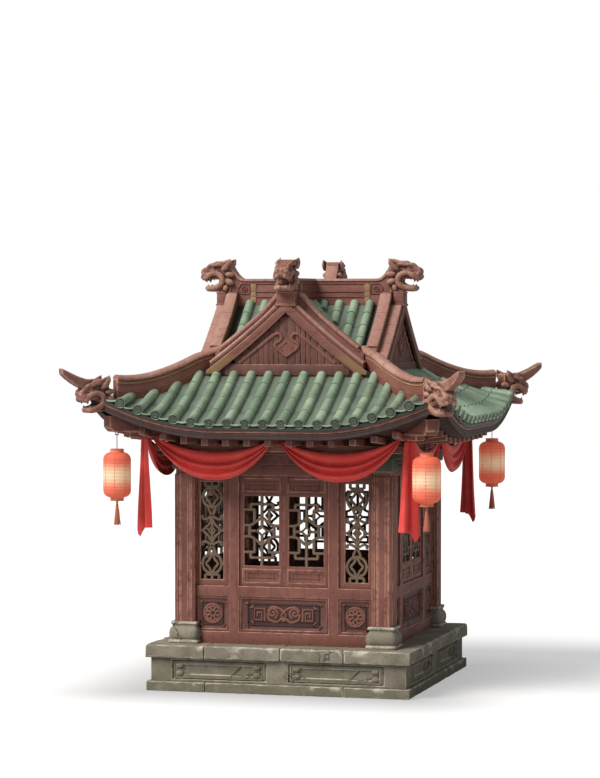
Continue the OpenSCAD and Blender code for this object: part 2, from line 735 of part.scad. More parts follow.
module lantern_shade(k) color(paper) on_corner(k) translate([lantern_at * across, 0, shade_foot])
  rotate_extrude() polygon(let(
    w = shade_r - collar_r,
    dome = 90,
    out = concat(
      [for (i = [0:8]) [collar_r + w * sin(90 * i / 8), dome * (1 - cos(90 * i / 8))]],
      [for (i = [8:-1:0]) [collar_r + w * sin(90 * i / 8), shade_h - dome * (1 - cos(90 * i / 8))]]),
    wall = concat(
      [for (i = [0:8]) [collar_r + (w - shade_t) * sin(90 * i / 8),
        shade_t + dome * (1 - cos(90 * i / 8))]],
      [for (i = [8:-1:0]) [collar_r + (w - shade_t) * sin(90 * i / 8),
        shade_h - shade_t - dome * (1 - cos(90 * i / 8))]]))
    concat(out, [for (i = [len(wall) - 1:-1:0]) wall[i]]));

module lantern_fittings(k) on_corner(k) translate([lantern_at * across, 0, 0]) {
  color(dark_wood) {
    translate([0, 0, shade_top]) cylinder(h = collar_h, r = collar_r + 4, $fn = 48);
    translate([0, 0, shade_foot - collar_h]) cylinder(h = collar_h, r = collar_r + 4, $fn = 48);
  }
  // hanger rod with the eye that turns on the hook's pin
  color(iron) difference() {
    union() {
      translate([0, 0, shade_top + collar_h - 1])
        cylinder(h = hanger_l - eye_r + 5, r = 5, $fn = 24);
      translate([-eye_l / 2, 0, pin_z]) rotate([0, 90, 0]) cylinder(h = eye_l, r = eye_r, $fn = 48);
    }
    translate([-eye_l, 0, pin_z]) rotate([0, 90, 0])
      cylinder(h = 2 * eye_l, r = pin_r + pin_gap, $fn = 48);
  }
  color(red_cloth) {
    translate([0, 0, shade_foot - collar_h - 45]) cylinder(h = 46, r = 14, $fn = 32);
    translate([0, 0, shade_foot - collar_h - tassel_l])
      cylinder(h = tassel_l - 44, r1 = 34, r2 = 16, $fn = 32);
  }
}

module lantern_hooks() color(iron) for (k = [0:3]) on_corner(k)
  translate([lantern_at * across, 0, 0]) {
    block([-45, -18, corner_beam_z - 5], [45, 18, corner_beam_z]);
    for (x = [-leg_at, leg_at]) translate([x, 0, pin_z - pin_r])
      cylinder(h = corner_beam_z - 4 - pin_z + pin_r, r = 5, $fn = 24);
    translate([-leg_at - 6, 0, pin_z]) rotate([0, 90, 0])
      cylinder(h = 2 * (leg_at + 6), r = pin_r, $fn = 48);
  }

// ---------- drapes ----------

module drape_swags() color(red_cloth) each_side() for (m = [-1, 1]) scale([m, 1, 1]) {
  n = 16;
  mid = (swag_in + swag_out) / 2;
  half = (swag_out - swag_in) / 2;
  inner_tie = soffit_z - seat;
  outer_tie = soffit(swag_out - tie_w, drape_at - fold_t / 2) - seat;
  profile_y(-drape_at - fold_t / 2, -drape_at + fold_t / 2) polygon(concat(
    [[swag_in, inner_tie], [swag_in + tie_w, inner_tie]],
    [for (i = [-n + 1:n - 1]) [mid + half * i / n, swag_z - swag_top_drop * (1 - pow(i / n, 2))]],
    [[swag_out - tie_w, outer_tie], [swag_out, outer_tie]],
    [for (i = [n:-1:-n])
      [mid + half * i / n, swag_z - 70 - (swag_drop - 70) * (1 - pow(abs(i / n), 2.2))]]));
}

module drape_tails() color(red_cloth) for (k = [0:3]) on_corner(k)
  translate([drape_at * across - 45, 0, 0]) rotate([90, 0, 90]) linear_extrude(90) polygon([
    [-70, soffit_z - seat],
    [-tail_half * 0.72, (soffit_z + tail_foot) / 2],
    [-tail_half, tail_foot + 110],
    [-tail_half * 0.55, tail_foot + 60],
    [-tail_half * 0.2, tail_foot + 100],
    [tail_half * 0.45, tail_foot],
    [tail_half, tail_foot + 110],
    [tail_half * 0.72, (soffit_z + tail_foot) / 2],
    [70, soffit_z - seat]
  ]);

// ---------- every node ----------

plinth_base_course();
plinth_dado();
plinth_cap();
column_bases();
corner_columns();
column_heads();
wall_frame(0);  // wall_frame_front
wall_frame(1);  // wall_frame_right
wall_frame(2);  // wall_frame_back
wall_frame(3);  // wall_frame_left
window_sashes(0);  // window_sashes_front
window_sashes(1);  // window_sashes_right
window_sashes(2);  // window_sashes_back
window_sashes(3);  // window_sashes_left
side_windows(0);  // side_windows_front
side_windows(1);  // side_windows_right
side_windows(2);  // side_windows_back
side_windows(3);  // side_windows_left
dado_panels();
frieze_boards();
purlins();
rafters();
corner_beams();
eave_boards();
skirt_roof(0);  // skirt_roof_front
skirt_roof(1);  // skirt_roof_right
skirt_roof(2);  // skirt_roof_back
skirt_roof(3);  // skirt_roof_left
skirt_tile_rows();
upper_roof();
gable_walls();
barge_boards();
rake_ridges();
main_ridges();
hip_ridges();
ridge_dragons();
hip_dragons();
lantern_shade(0);  // lantern_shade_front_right
lantern_shade(1);  // lantern_shade_back_right
lantern_shade(2);  // lantern_shade_back_left
lantern_shade(3);  // lantern_shade_front_left
lantern_fittings(0);  // lantern_fittings_front_right
lantern_fittings(1);  // lantern_fittings_back_right
lantern_fittings(2);  // lantern_fittings_back_left
lantern_fittings(3);  // lantern_fittings_front_left
lantern_hooks();
drape_swags();
drape_tails();
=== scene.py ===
# %% [markdown]
# # A square Chinese pavilion with crossed gables
# The building stands on a stone plinth. Timber walls with lattice windows sit between four corner
# columns, glazed tiles cover an upturned skirt roof and two crossed gables, dragon heads close the
# ridges, and paper lanterns and red cloth hang under the eaves. All four sides are alike, so nearly
# every piece is drawn once for the front and turned to the other three sides.

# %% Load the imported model
import random
from math import cos, hypot, pi, radians, sin, sqrt, tau

import bmesh
import bpy
import numpy as np
from mathutils import Matrix, Vector, noise


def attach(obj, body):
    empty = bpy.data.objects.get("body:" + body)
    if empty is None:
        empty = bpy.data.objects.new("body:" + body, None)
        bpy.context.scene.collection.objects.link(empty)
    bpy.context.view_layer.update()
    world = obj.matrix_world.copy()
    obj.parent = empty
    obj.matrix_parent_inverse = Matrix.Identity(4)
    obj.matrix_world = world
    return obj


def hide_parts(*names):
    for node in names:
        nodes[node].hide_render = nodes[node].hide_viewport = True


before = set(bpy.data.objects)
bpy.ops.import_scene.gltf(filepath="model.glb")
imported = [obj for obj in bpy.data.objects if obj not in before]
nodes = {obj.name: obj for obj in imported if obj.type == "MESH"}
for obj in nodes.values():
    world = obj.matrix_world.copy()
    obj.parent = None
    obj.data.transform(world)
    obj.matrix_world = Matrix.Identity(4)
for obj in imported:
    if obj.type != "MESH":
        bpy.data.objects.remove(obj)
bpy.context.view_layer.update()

scene = bpy.context.scene


def linked(name, data):
    """An object of that name in the scene."""
    made = bpy.data.objects.new(name, data)
    scene.collection.objects.link(made)
    return made


# %% [markdown]
# ## Camera
# The camera stands far off with a long lens, a little above the middle of the building and
# 15 degrees round to its right. Such a lens keeps the upright columns nearly parallel. The place
# and the aim come from one azimuth, one elevation and one distance, which is easier to correct
# than six separate numbers.

# %% Camera
azimuth, elevation, distance = radians(15.293), radians(1.713), 39.442
aim = Vector((-0.162, 0.0, 3.957))
away = Vector((sin(azimuth) * cos(elevation),
               -cos(azimuth) * cos(elevation), sin(elevation)))
lens = bpy.data.cameras.new("camera")
lens.lens = 133.65
lens.sensor_width = 36
lens.clip_end = 300
camera = linked("camera", lens)
camera.location = aim + away * distance
camera.rotation_euler = (-away).to_track_quat("-Z", "Y").to_euler()
scene.camera = camera
print("camera at", [round(v, 3) for v in camera.location])

# %% [markdown]
# ## Light and floor
# Soft studio light: an even white surround fills every side, and one broad sun from the front
# left gives the front its form and leaves the right-hand walls in shade. The surround is dimmer
# for the pieces than it looks to the camera, so the backdrop is white while the undersides of the
# eaves keep their depth. The floor is a plain pale disc, with a soft shadow painted into its colour
# round the plinth.

# %% Light and floor
world = bpy.data.worlds.new("studio")
scene.world = world
world.use_nodes = True
sky = world.node_tree
sky.nodes.clear()
seen = sky.nodes.new("ShaderNodeLightPath")
fill = sky.nodes.new("ShaderNodeBackground")
fill.inputs["Color"].default_value = (0.92, 0.96, 1.0, 1)
fill.inputs["Strength"].default_value = 0.34
backdrop = sky.nodes.new("ShaderNodeBackground")
backdrop.inputs["Color"].default_value = (1, 1, 1, 1)
either = sky.nodes.new("ShaderNodeMixShader")
out = sky.nodes.new("ShaderNodeOutputWorld")
sky.links.new(seen.outputs["Is Camera Ray"], either.inputs[0])
sky.links.new(fill.outputs[0], either.inputs[1])
sky.links.new(backdrop.outputs[0], either.inputs[2])
sky.links.new(either.outputs[0], out.inputs["Surface"])
scene.view_settings.view_transform = "Standard"

sun_light = bpy.data.lights.new("key", "SUN")
sun_light.energy = 3.9
sun_light.angle = radians(32)
sun_light.color = (1.0, 0.97, 0.93)
key = linked("key", sun_light)
key.rotation_euler = Vector((-0.62, -0.72, 0.95)).to_track_quat("Z", "Y").to_euler()

disc = bmesh.new()
bmesh.ops.create_circle(disc, cap_ends=True, radius=60, segments=96)
floor_mesh = bpy.data.meshes.new("floor")
disc.to_mesh(floor_mesh)
disc.free()
floor = linked("floor", floor_mesh)
print("one sun, an even surround and a pale floor")

# %% [markdown]
# ## Sizes and curves
# The tiles, ridges and mouldings have to lie on the solids, so the curves that shape the solids
# are repeated here in metres: how far the eave lifts towards its corners, the hollow skirt roof,
# the upper slopes and the foot of the barge boards.

# %% Sizes and curves
EAVE, GABLE = 2.39, 1.25
SKIRT_TOP, CREST = 4.13, 5.15
ACROSS = sqrt(2)


def lift(x):
    """Rise of the eave at x."""
    return 0.449 * (max(0.0, abs(x) - 0.7) / (EAVE - 0.7)) ** 1.886


def skirt(x, s):
    """Surface of the skirt roof at x along the eave and s out from the middle."""
    u = max(0.0, (s - GABLE) / (EAVE - GABLE))
    return SKIRT_TOP - 0.6 * u - 0.16 * u * (1 - u) + lift(x) * u ** 1.4


def slope(s):
    """Surface of an upper slope at the distance s from its ridge."""
    v = abs(s) / GABLE
    return CREST - (CREST - SKIRT_TOP) * (1.164 * v - 0.164 * v * v)


def barge_foot(x):
    """Lower edge of a barge board at x."""
    return slope(x) - 0.138


print("eave at", round(skirt(0, EAVE), 3), "in the middle and", round(skirt(EAVE, EAVE), 3), "at a corner")

# %% [markdown]
# ## Shapes
# A shape here is a pair: an array of points and a list of faces. Shapes are turned to the other
# sides, joined, and made into one object for each body. Every finished object sits at the origin
# with its place in its points.

# %% Turning, joining and making shapes
SIDES = ("front", "right", "back", "left")
CORNERS = (("front_right", 1, -1), ("back_right", 1, 1), ("back_left", -1, 1), ("front_left", -1, -1))
TURNS = [(1, 0), (0, 1), (-1, 0), (0, -1)]


def spun(points, c, s):
    """Points turned about the Z axis by an angle given as its cosine and sine."""
    p = np.asarray(points, float).reshape(-1, 3)
    return np.column_stack([p[:, 0] * c - p[:, 1] * s, p[:, 0] * s + p[:, 1] * c, p[:, 2]])


def turned(points, k):
    """Points drawn for the front, turned to side k."""
    return spun(points, *TURNS[k])


def cornered(points, k):
    """Points drawn along +X from the middle, turned to the diagonal of corner k."""
    a = radians(90 * k - 45)
    return spun(points, cos(a), sin(a))


def joined(shapes):
    """One shape from several."""
    points, faces, start = [], [], 0
    for p, f in shapes:
        p = np.asarray(p, float).reshape(-1, 3)
        points.append(p)
        faces += [[i + start for i in face] for face in f]
        start += len(p)
    return np.vstack(points), faces


def line_of(function, start, end, n=16):
    """Points of a function of one value."""
    return [function(start + (end - start) * i / n) for i in range(n + 1)]


def repeated(shape, turn=turned, which=range(4)):
    """The same shape on every side, or on every corner."""
    return joined([(turn(shape[0], k), shape[1]) for k in which])


def mirrored(shape):
    """A shape and its mirror image about x = 0, with the mirror's faces turned round."""
    p, f = shape
    return joined([shape, (np.asarray(p) * [-1, 1, 1], [list(reversed(face)) for face in f])])


def box(low, high):
    """A plain block between two corners, as a start for bevelled pieces and thin grounds."""
    (a, b, c), (d, e, f) = low, high
    return ([(a, b, c), (d, b, c), (d, e, c), (a, e, c), (a, b, f), (d, b, f), (d, e, f), (a, e, f)],
            [[3, 2, 1, 0], [4, 5, 6, 7], [0, 1, 5, 4], [1, 2, 6, 5], [2, 3, 7, 6], [3, 0, 4, 7]])


def object_from(name, shape, material, smooth=40):
    """An object at the origin, shaded smooth except across edges sharper than an angle."""
    mesh = bpy.data.meshes.new(name)
    mesh.from_pydata([tuple(p) for p in np.asarray(shape[0], float)], [], [list(f) for f in shape[1]])
    mesh.materials.append(material)
    mesh.shade_smooth()
    mesh.set_sharp_from_angle(angle=radians(smooth))
    return linked(name, mesh)


def place(piece, slot, *stands_for, body="pavilion"):
    """Lets a piece ride on its body and hides the solids it stands for; slot is not used."""
    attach(piece, body)
    if stands_for:
        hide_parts(*stands_for)
    print(piece.name, len(piece.data.polygons), "faces")
    return piece


# %% [markdown]
# ## Softened edges
# Real timber and stone have rounded edges that catch the light, and old paint wears off there
# first. Each solid is copied, its triangles are merged back into flat faces, and every sharp edge
# gets a narrow bevel. The bevel's own faces carry an attribute called edge, so that a material can
# show bare wood or pale stone just there.

# %% Bevelled copies
def softened(work, width, angle):
    """Bevels the sharp edges of a bmesh and marks the new faces with the attribute edge."""
    bmesh.ops.remove_doubles(work, verts=work.verts, dist=2e-5)
    bmesh.ops.dissolve_limit(work, angle_limit=radians(1.5), verts=work.verts, edges=work.edges)
    mark = work.faces.layers.float.get("edge") or work.faces.layers.float.new("edge")
    sharp = [e for e in work.edges
             if len(e.link_faces) == 2 and e.calc_face_angle(0) > radians(angle)]
    cut = bmesh.ops.bevel(work, geom=sharp, offset=width, offset_type="OFFSET", segments=2,
                          profile=0.5, affect="EDGES", clamp_overlap=True)
    for face in cut["faces"]:
        face[mark] = 1.0


def mesh_of(name, work):
    """Turns a bmesh into a mesh."""
    mesh = bpy.data.meshes.new(name)
    work.to_mesh(mesh)
    work.free()
    return mesh


def finished(name, work, material):
    """Turns a bmesh into an object that is smooth over its bevels only."""
    mesh = mesh_of(name, work)
    mesh.materials.clear()
    mesh.materials.append(material)
    mesh.shade_smooth()
    mesh.set_sharp_from_angle(angle=radians(38))
    return linked(name, mesh)


def bevelled_copy(node, name, material, width, angle=25):
    """A bevelled copy of a solid."""
    work = bmesh.new()
    work.from_mesh(nodes[node].data)
    softened(work, width, angle)
    return finished(name, work, material)


def bevelled(name, shape, material, width):
    """A bevelled object from a plain shape."""
    work = bmesh.new()
    points = [work.verts.new(tuple(p)) for p in np.asarray(shape[0], float)]
    for face in shape[1]:
        work.faces.new([points[i] for i in face])
    softened(work, width, 25)
    return finished(name, work, material)


def lie_level(piece, test):
    """Marks the faces whose grain runs level: test gets a face's centre."""
    marks = piece.data.attributes.new("level", "FLOAT", "FACE")
    marks.data.foreach_set("value", [1.0 if test(f.center) else 0.0 for f in piece.data.polygons])


print("shape helpers ready")

# %% [markdown]
# ## Geometry Nodes: pieces on edges and bars along paths
# Tiles, rods, lattice bars and mouldings repeat hundreds of times. Two node trees make
# them all. The first puts a copy of one small piece on every edge of a path and stretches it to the
# edge's length, with its own random tint. The second pushes an outline along a path. Both trees
# take their path as a mesh of loose edges, which the functions below write.

# %% Node tree helpers
def new_tree(name, inputs):
    """An empty Geometry Nodes tree with named inputs (label, socket type, value)."""
    tree = bpy.data.node_groups.new(name, "GeometryNodeTree")
    tree.interface.new_socket(name="Path", in_out="INPUT", socket_type="NodeSocketGeometry")
    for label, kind, value in inputs:
        socket = tree.interface.new_socket(name=label, in_out="INPUT", socket_type=kind)
        if value is not None:
            socket.default_value = value
    tree.interface.new_socket(name="Shape", in_out="OUTPUT", socket_type="NodeSocketGeometry")
    return tree, tree.nodes.new("NodeGroupInput"), tree.nodes.new("NodeGroupOutput")


def fed(tree, node, inputs):
    """Fills a node's sockets with values or links."""
    for label, value in inputs.items():
        if isinstance(value, bpy.types.NodeSocket):
            tree.links.new(value, node.inputs[label])
        else:
            node.inputs[label].default_value = value
    return node


def add(tree, kind, inputs=None, **settings):
    """Adds a node, sets it up and fills its sockets."""
    made = tree.nodes.new(kind)
    for label, value in settings.items():
        setattr(made, label, value)
    return fed(tree, made, inputs or {})


def path_mesh(name, paths):
    """Loose edges through the points of each path; a path is (points, closed)."""
    points, edges = [], []
    for line, closed in paths:
        start = len(points)
        points += [tuple(p) for p in line]
        edges += [(start + i, start + i + 1) for i in range(len(line) - 1)]
        if closed:
            edges.append((start + len(line) - 1, start))
    mesh = bpy.data.meshes.new(name)
    mesh.from_pydata(points, edges, [])
    return mesh


def settled(source):
    """The mesh that an object's modifiers make of it; the object is dropped."""
    bpy.context.view_layer.update()
    view = bpy.context.evaluated_depsgraph_get()
    mesh = bpy.data.meshes.new_from_object(source.evaluated_get(view), depsgraph=view)
    bpy.data.objects.remove(source)
    return mesh


def grown(tree, paths, **values):
    """Runs a tree on paths and returns the plain mesh it makes."""
    source = linked("path", path_mesh("path", paths))
    modifier = source.modifiers.new("shape", "NODES")
    modifier.node_group = tree
    sockets = {s.name: s.identifier for s in tree.interface.items_tree
               if s.item_type == "SOCKET" and s.in_out == "INPUT"}
    for label, value in values.items():
        modifier[sockets[label]] = value
    return settled(source)


print("tree helpers ready")

# %% [markdown]
# The first tree. An edge has no direction of its own, so its two end points give one: the piece's X
# runs from the first point to the second and its Z leans towards an up direction. Scaling only
# along X keeps the section of a tile or a bar true while its length follows the edge.

# %% Tree: a piece on every edge
each_edge, given, result = new_tree("piece_on_each_edge", [
    ("Piece", "NodeSocketObject", None), ("Up", "NodeSocketVector", (0, 0, 1)),
    ("Seed", "NodeSocketInt", 7), ("Finish", "NodeSocketMaterial", None)])
ends = add(each_edge, "GeometryNodeInputMeshEdgeVertices")
along = add(each_edge, "ShaderNodeVectorMath", operation="SUBTRACT",
            inputs={0: ends.outputs["Position 2"], 1: ends.outputs["Position 1"]})
length = add(each_edge, "ShaderNodeVectorMath", operation="LENGTH", inputs={0: along.outputs[0]})
keep_along = add(each_edge, "GeometryNodeStoreNamedAttribute", data_type="FLOAT_VECTOR", domain="EDGE",
                 inputs={"Geometry": given.outputs["Path"], "Name": "along", "Value": along.outputs[0]})
keep_length = add(each_edge, "GeometryNodeStoreNamedAttribute", data_type="FLOAT", domain="EDGE",
                  inputs={"Geometry": keep_along.outputs[0], "Name": "length",
                          "Value": length.outputs["Value"]})
middles = add(each_edge, "GeometryNodeMeshToPoints", mode="EDGES", inputs={"Mesh": keep_length.outputs[0]})
read_along = add(each_edge, "GeometryNodeInputNamedAttribute", data_type="FLOAT_VECTOR",
                 inputs={"Name": "along"})
read_length = add(each_edge, "GeometryNodeInputNamedAttribute", data_type="FLOAT", inputs={"Name": "length"})
facing = add(each_edge, "FunctionNodeAxesToRotation", primary_axis="X", secondary_axis="Z",
             inputs={0: read_along.outputs[0], 1: given.outputs["Up"]})
stretch = add(each_edge, "ShaderNodeCombineXYZ", inputs={0: read_length.outputs[0], 1: 1.0, 2: 1.0})
piece_in = add(each_edge, "GeometryNodeObjectInfo", inputs={"Object": given.outputs["Piece"]})
copies = add(each_edge, "GeometryNodeInstanceOnPoints",
             inputs={"Points": middles.outputs[0], "Instance": piece_in.outputs["Geometry"],
                     "Rotation": facing.outputs[0], "Scale": stretch.outputs[0]})
chance = add(each_edge, "FunctionNodeRandomValue", data_type="FLOAT", inputs={"Seed": given.outputs["Seed"]})
tinted = add(each_edge, "GeometryNodeStoreNamedAttribute", data_type="FLOAT", domain="INSTANCE",
             inputs={"Geometry": copies.outputs[0], "Name": "tint", "Value": chance.outputs[1]})
solid = add(each_edge, "GeometryNodeRealizeInstances", inputs={"Geometry": tinted.outputs[0]})
coated = add(each_edge, "GeometryNodeSetMaterial",
             inputs={"Geometry": solid.outputs[0], "Material": given.outputs["Finish"]})
each_edge.links.new(coated.outputs[0], result.inputs[0])
print("tree", each_edge.name, "has", len(each_edge.nodes), "nodes")

# %% [markdown]
# The second tree pushes a closed outline along each path, as a plane cuts a moulding. The outline
# comes from a small object of loose edges, whose X points sideways and whose Y points up.

# %% Tree: an outline along a path
sweep, given, result = new_tree("outline_along_path", [
    ("Outline", "NodeSocketObject", None), ("Caps", "NodeSocketBool", True),
    ("Finish", "NodeSocketMaterial", None)])
line = add(sweep, "GeometryNodeMeshToCurve", inputs={"Mesh": given.outputs["Path"]})
outline_in = add(sweep, "GeometryNodeObjectInfo", inputs={"Object": given.outputs["Outline"]})
outline = add(sweep, "GeometryNodeMeshToCurve", inputs={"Mesh": outline_in.outputs["Geometry"]})
bar = add(sweep, "GeometryNodeCurveToMesh", inputs={
    "Curve": line.outputs[0], "Profile Curve": outline.outputs[0], "Fill Caps": given.outputs["Caps"]})
solid = add(sweep, "GeometryNodeRealizeInstances", inputs={"Geometry": bar.outputs[0]})
coated = add(sweep, "GeometryNodeSetMaterial",
             inputs={"Geometry": solid.outputs[0], "Material": given.outputs["Finish"]})
sweep.links.new(coated.outputs[0], result.inputs[0])
print("tree", sweep.name, "has", len(sweep.nodes), "nodes")

# %% [markdown]
# Two short functions use the trees. The result of a sweep is turned back into a shape, so that it
# can be flattened, mirrored or turned like any other shape before it becomes a piece.

# %% Bars and copies as shapes
def shape_of(mesh):
    """The points and faces of a mesh, which is then dropped."""
    points = np.zeros(len(mesh.vertices) * 3)
    mesh.vertices.foreach_get("co", points)
    faces = [list(f.vertices) for f in mesh.polygons]
    bpy.data.meshes.remove(mesh)
    return points.reshape(-1, 3), faces


def bar_outline(width, height):
    """A rectangular section with cut-off corners."""
    w, h = width / 2, height / 2
    c = min(w, h) * 0.35
    return [(-w + c, -h), (w - c, -h), (w, -h + c), (w, h - c), (w - c, h), (-w + c, h), (-w, h - c),
            (-w, -h + c)]


def rod_outline(radius, n):
    """A round section."""
    return [(radius * cos(tau * i / n), radius * sin(tau * i / n)) for i in range(n)]


def swept(paths, outline_points):
    """Closed bars along paths, as a shape with its faces pointing outwards."""
    section = linked("outline", path_mesh("outline", [([(x, -y, 0) for x, y in outline_points], True)]))
    mesh = grown(sweep, paths, Outline=section)
    bpy.data.objects.remove(section)
    work = bmesh.new()
    work.from_mesh(mesh)
    bmesh.ops.recalc_face_normals(work, faces=work.faces)
    work.to_mesh(mesh)
    work.free()
    return shape_of(mesh)


def copies_on(name, piece, paths, material, seed):
    """An object with one copy of a small piece on every edge of the paths."""
    model = object_from("model", piece, material)
    mesh = grown(each_edge, paths, Piece=model, Up=(0, 0, 1), Seed=seed, Finish=material)
    bpy.data.objects.remove(model)
    mesh.name = name
    mesh.shade_smooth()
    mesh.set_sharp_from_angle(angle=radians(40))
    return linked(name, mesh)


def flattened(shape, y, factor):
    """Squeezes a shape towards the plane at y, to make a shallow relief of it."""
    p = np.array(shape[0], float)
    p[:, 1] = y + (p[:, 1] - y) * factor
    return p, shape[1]


def smooth_line(points, n, closed=False):
    """A rounded line through the given points, with n steps between neighbours."""
    p = [np.array(q, float) for q in points]
    count = len(p)
    line = []
    for i in range(count if closed else count - 1):
        a = p[(i - 1) % count] if closed or i > 0 else 2 * p[0] - p[1]
        b, c = p[i], p[(i + 1) % count]
        d = p[(i + 2) % count] if closed or i + 2 < count else 2 * p[-1] - p[-2]
        for j in range(n):
            t = j / n
            line.append(0.5 * (2 * b + (c - a) * t + (2 * a - 5 * b + 4 * c - d) * t * t
                               + (3 * b - a - 3 * c + d) * t ** 3))
    if not closed:
        line.append(p[-1])
    return [tuple(q) for q in line]


print("sweeps and copies ready")

# %% [markdown]
# ## Effects shared by the finishes
# Painted timber, stone, glaze and cloth all need the same few effects: large stains, worn edges,
# grain, and dirt that gathers low down. Each effect is a shader node group with named inputs. The
# groups give colours, masks and heights only; the surface shader stays in each material.

# %% Group helpers
def srgb(r, g, b):
    """A colour given as 0 to 255 values, as the linear values that shaders use."""
    linear = [v / 255 / 12.92 if v <= 10.3 else ((v / 255 + 0.055) / 1.055) ** 2.4 for v in (r, g, b)]
    return (*linear, 1.0)


def new_group(name, inputs, outputs):
    """An empty shader group with named sockets (label, socket type, value)."""
    tree = bpy.data.node_groups.new(name, "ShaderNodeTree")
    for label, kind, value in inputs:
        socket = tree.interface.new_socket(name=label, in_out="INPUT", socket_type=kind)
        if value is not None:
            socket.default_value = value
    for label, kind in outputs:
        tree.interface.new_socket(name=label, in_out="OUTPUT", socket_type=kind)
    return tree, tree.nodes.new("NodeGroupInput").outputs, tree.nodes.new("NodeGroupOutput").inputs


def mix(tree, factor, a, b):
    """A colour mix; each argument is a value or a socket."""
    return add(tree, "ShaderNodeMix", {0: factor, 6: a, 7: b}, data_type="RGBA").outputs[2]


def maths(operation):
    """A function that does one sum on values or sockets in a tree."""
    def sum_of(tree, a, b=0.0):
        return add(tree, "ShaderNodeMath", {0: a, 1: b}, operation=operation).outputs[0]
    return sum_of


times, plus, minus, power = maths("MULTIPLY"), maths("ADD"), maths("SUBTRACT"), maths("POWER")
larger, root, size_of = maths("MAXIMUM"), maths("SQRT"), maths("ABSOLUTE")


def spot_in(tree):
    """The place on the object."""
    return add(tree, "ShaderNodeTexCoord").outputs["Object"]


def marked(tree, attribute):
    """The value of an attribute."""
    return add(tree, "ShaderNodeAttribute", attribute_name=attribute).outputs["Fac"]


def speckle(tree, where, scale, detail, roughness=0.55, distortion=0.0):
    """A noise from 0 to 1 over the given coordinates."""
    made = add(tree, "ShaderNodeTexNoise", {"Vector": where, "Scale": scale, "Detail": detail,
                                            "Roughness": roughness, "Distortion": distortion})
    return made.outputs["Fac"]


def between(tree, value, low, high):
    """A soft step from 0 at low to 1 at high."""
    made = add(tree, "ShaderNodeMapRange", {0: value, 1: low, 2: high, 3: 0.0, 4: 1.0},
               interpolation_type="SMOOTHSTEP")
    return made.outputs[0]


COLOUR, NUMBER = "NodeSocketColor", "NodeSocketFloat"

# %% Group: stains that fade and darken a coat
stains, given, result = new_group(
    "stains", [("Coat", COLOUR, (0.5, 0.5, 0.5, 1)), ("Faded", COLOUR, (0.8, 0.8, 0.8, 1)),
               ("Grime", COLOUR, (0.1, 0.1, 0.1, 1)), ("Scale", NUMBER, 1.0), ("Amount", NUMBER, 0.5)],
    [("Colour", COLOUR), ("Mask", NUMBER)])
here = spot_in(stains)
broad = speckle(stains, here, times(stains, given["Scale"], 1.3), 5, 0.6, 0.4)
fine = speckle(stains, here, times(stains, given["Scale"], 11.0), 6, 0.65)
faded_mask = times(stains, between(stains, broad, 0.42, 0.72), given["Amount"])
faded = mix(stains, faded_mask, given["Coat"], given["Faded"])
dirt = times(stains, between(stains, fine, 0.52, 0.78), given["Amount"])
stains.links.new(mix(stains, dirt, faded, given["Grime"]), result["Colour"])
stains.links.new(fine, result["Mask"])
print("group", stains.name)

# %% Group: wear where the attribute edge is set
edge_wear, given, result = new_group(
    "edge_wear", [("Coat", COLOUR, (0.5, 0.5, 0.5, 1)), ("Bare", COLOUR, (0.8, 0.7, 0.6, 1)),
                  ("Amount", NUMBER, 0.8), ("Scale", NUMBER, 9.0)],
    [("Colour", COLOUR), ("Mask", NUMBER)])
here = spot_in(edge_wear)
edge = marked(edge_wear, "edge")
patchy = between(edge_wear, speckle(edge_wear, here, given["Scale"], 5, 0.7), 0.34, 0.6)
mask = times(edge_wear, times(edge_wear, edge, patchy), given["Amount"])
edge_wear.links.new(mix(edge_wear, mask, given["Coat"], given["Bare"]), result["Colour"])
edge_wear.links.new(mask, result["Mask"])
print("group", edge_wear.name)

# %% Group: wood grain, upright or level
grain, given, result = new_group("grain", [("Fineness", NUMBER, 1.0)],
                                 [("Height", NUMBER), ("Streaks", NUMBER)])
here = spot_in(grain)
level = marked(grain, "level")
stretch = add(grain, "ShaderNodeMix", {0: level, 4: (26, 26, 1.6), 5: (2.2, 2.2, 34)},
              data_type="VECTOR").outputs[1]
fibres = add(grain, "ShaderNodeVectorMath", {0: here, 1: stretch}, operation="MULTIPLY").outputs[0]
coarse = speckle(grain, fibres, given["Fineness"], 4, 0.6, 0.6)
hair = speckle(grain, fibres, times(grain, given["Fineness"], 4.0), 3, 0.5)
both = plus(grain, times(grain, coarse, 0.7), times(grain, hair, 0.3))
grain.links.new(both, result["Height"])
grain.links.new(between(grain, coarse, 0.45, 0.7), result["Streaks"])
print("group", grain.name)

# %% Group: moss and dust that gather low down
moss, given, result = new_group(
    "moss", [("Stone", COLOUR, (0.4, 0.4, 0.35, 1)), ("Green", COLOUR, (0.1, 0.14, 0.05, 1)),
             ("Amount", NUMBER, 0.6), ("Top", NUMBER, 0.7)], [("Colour", COLOUR)])
here = spot_in(moss)
high = add(moss, "ShaderNodeSeparateXYZ", {0: here}).outputs[2]
low = minus(moss, 1.0, between(moss, high, 0.0, given["Top"]))
blots = between(moss, plus(moss, speckle(moss, here, 3.2, 6, 0.68),
                            times(moss, low, 0.16)), 0.5, 0.68)
moss.links.new(mix(moss, times(moss, blots, given["Amount"]), given["Stone"], given["Green"]),
               result["Colour"])
print("group", moss.name)

# %% [markdown]
# ## Finishes
# The timber is an old reddish brown paint: it has faded to a dusty pink on edges and proud places,
# and gone dark in the grain. One function builds each painted timber from its own colours, because
# the walls, the darker panels and the green bracket blocks are the same coat in other colours.

# %% Painted timber
def group_in(tree, group, inputs):
    """A shader group placed in a material."""
    return add(tree, "ShaderNodeGroup", inputs, node_tree=group).outputs


def new_material(name):
    """An empty material: its tree and its surface shader."""
    material = bpy.data.materials.new(name)
    material.use_nodes = True
    tree = material.node_tree
    return material, tree, tree.nodes["Principled BSDF"]


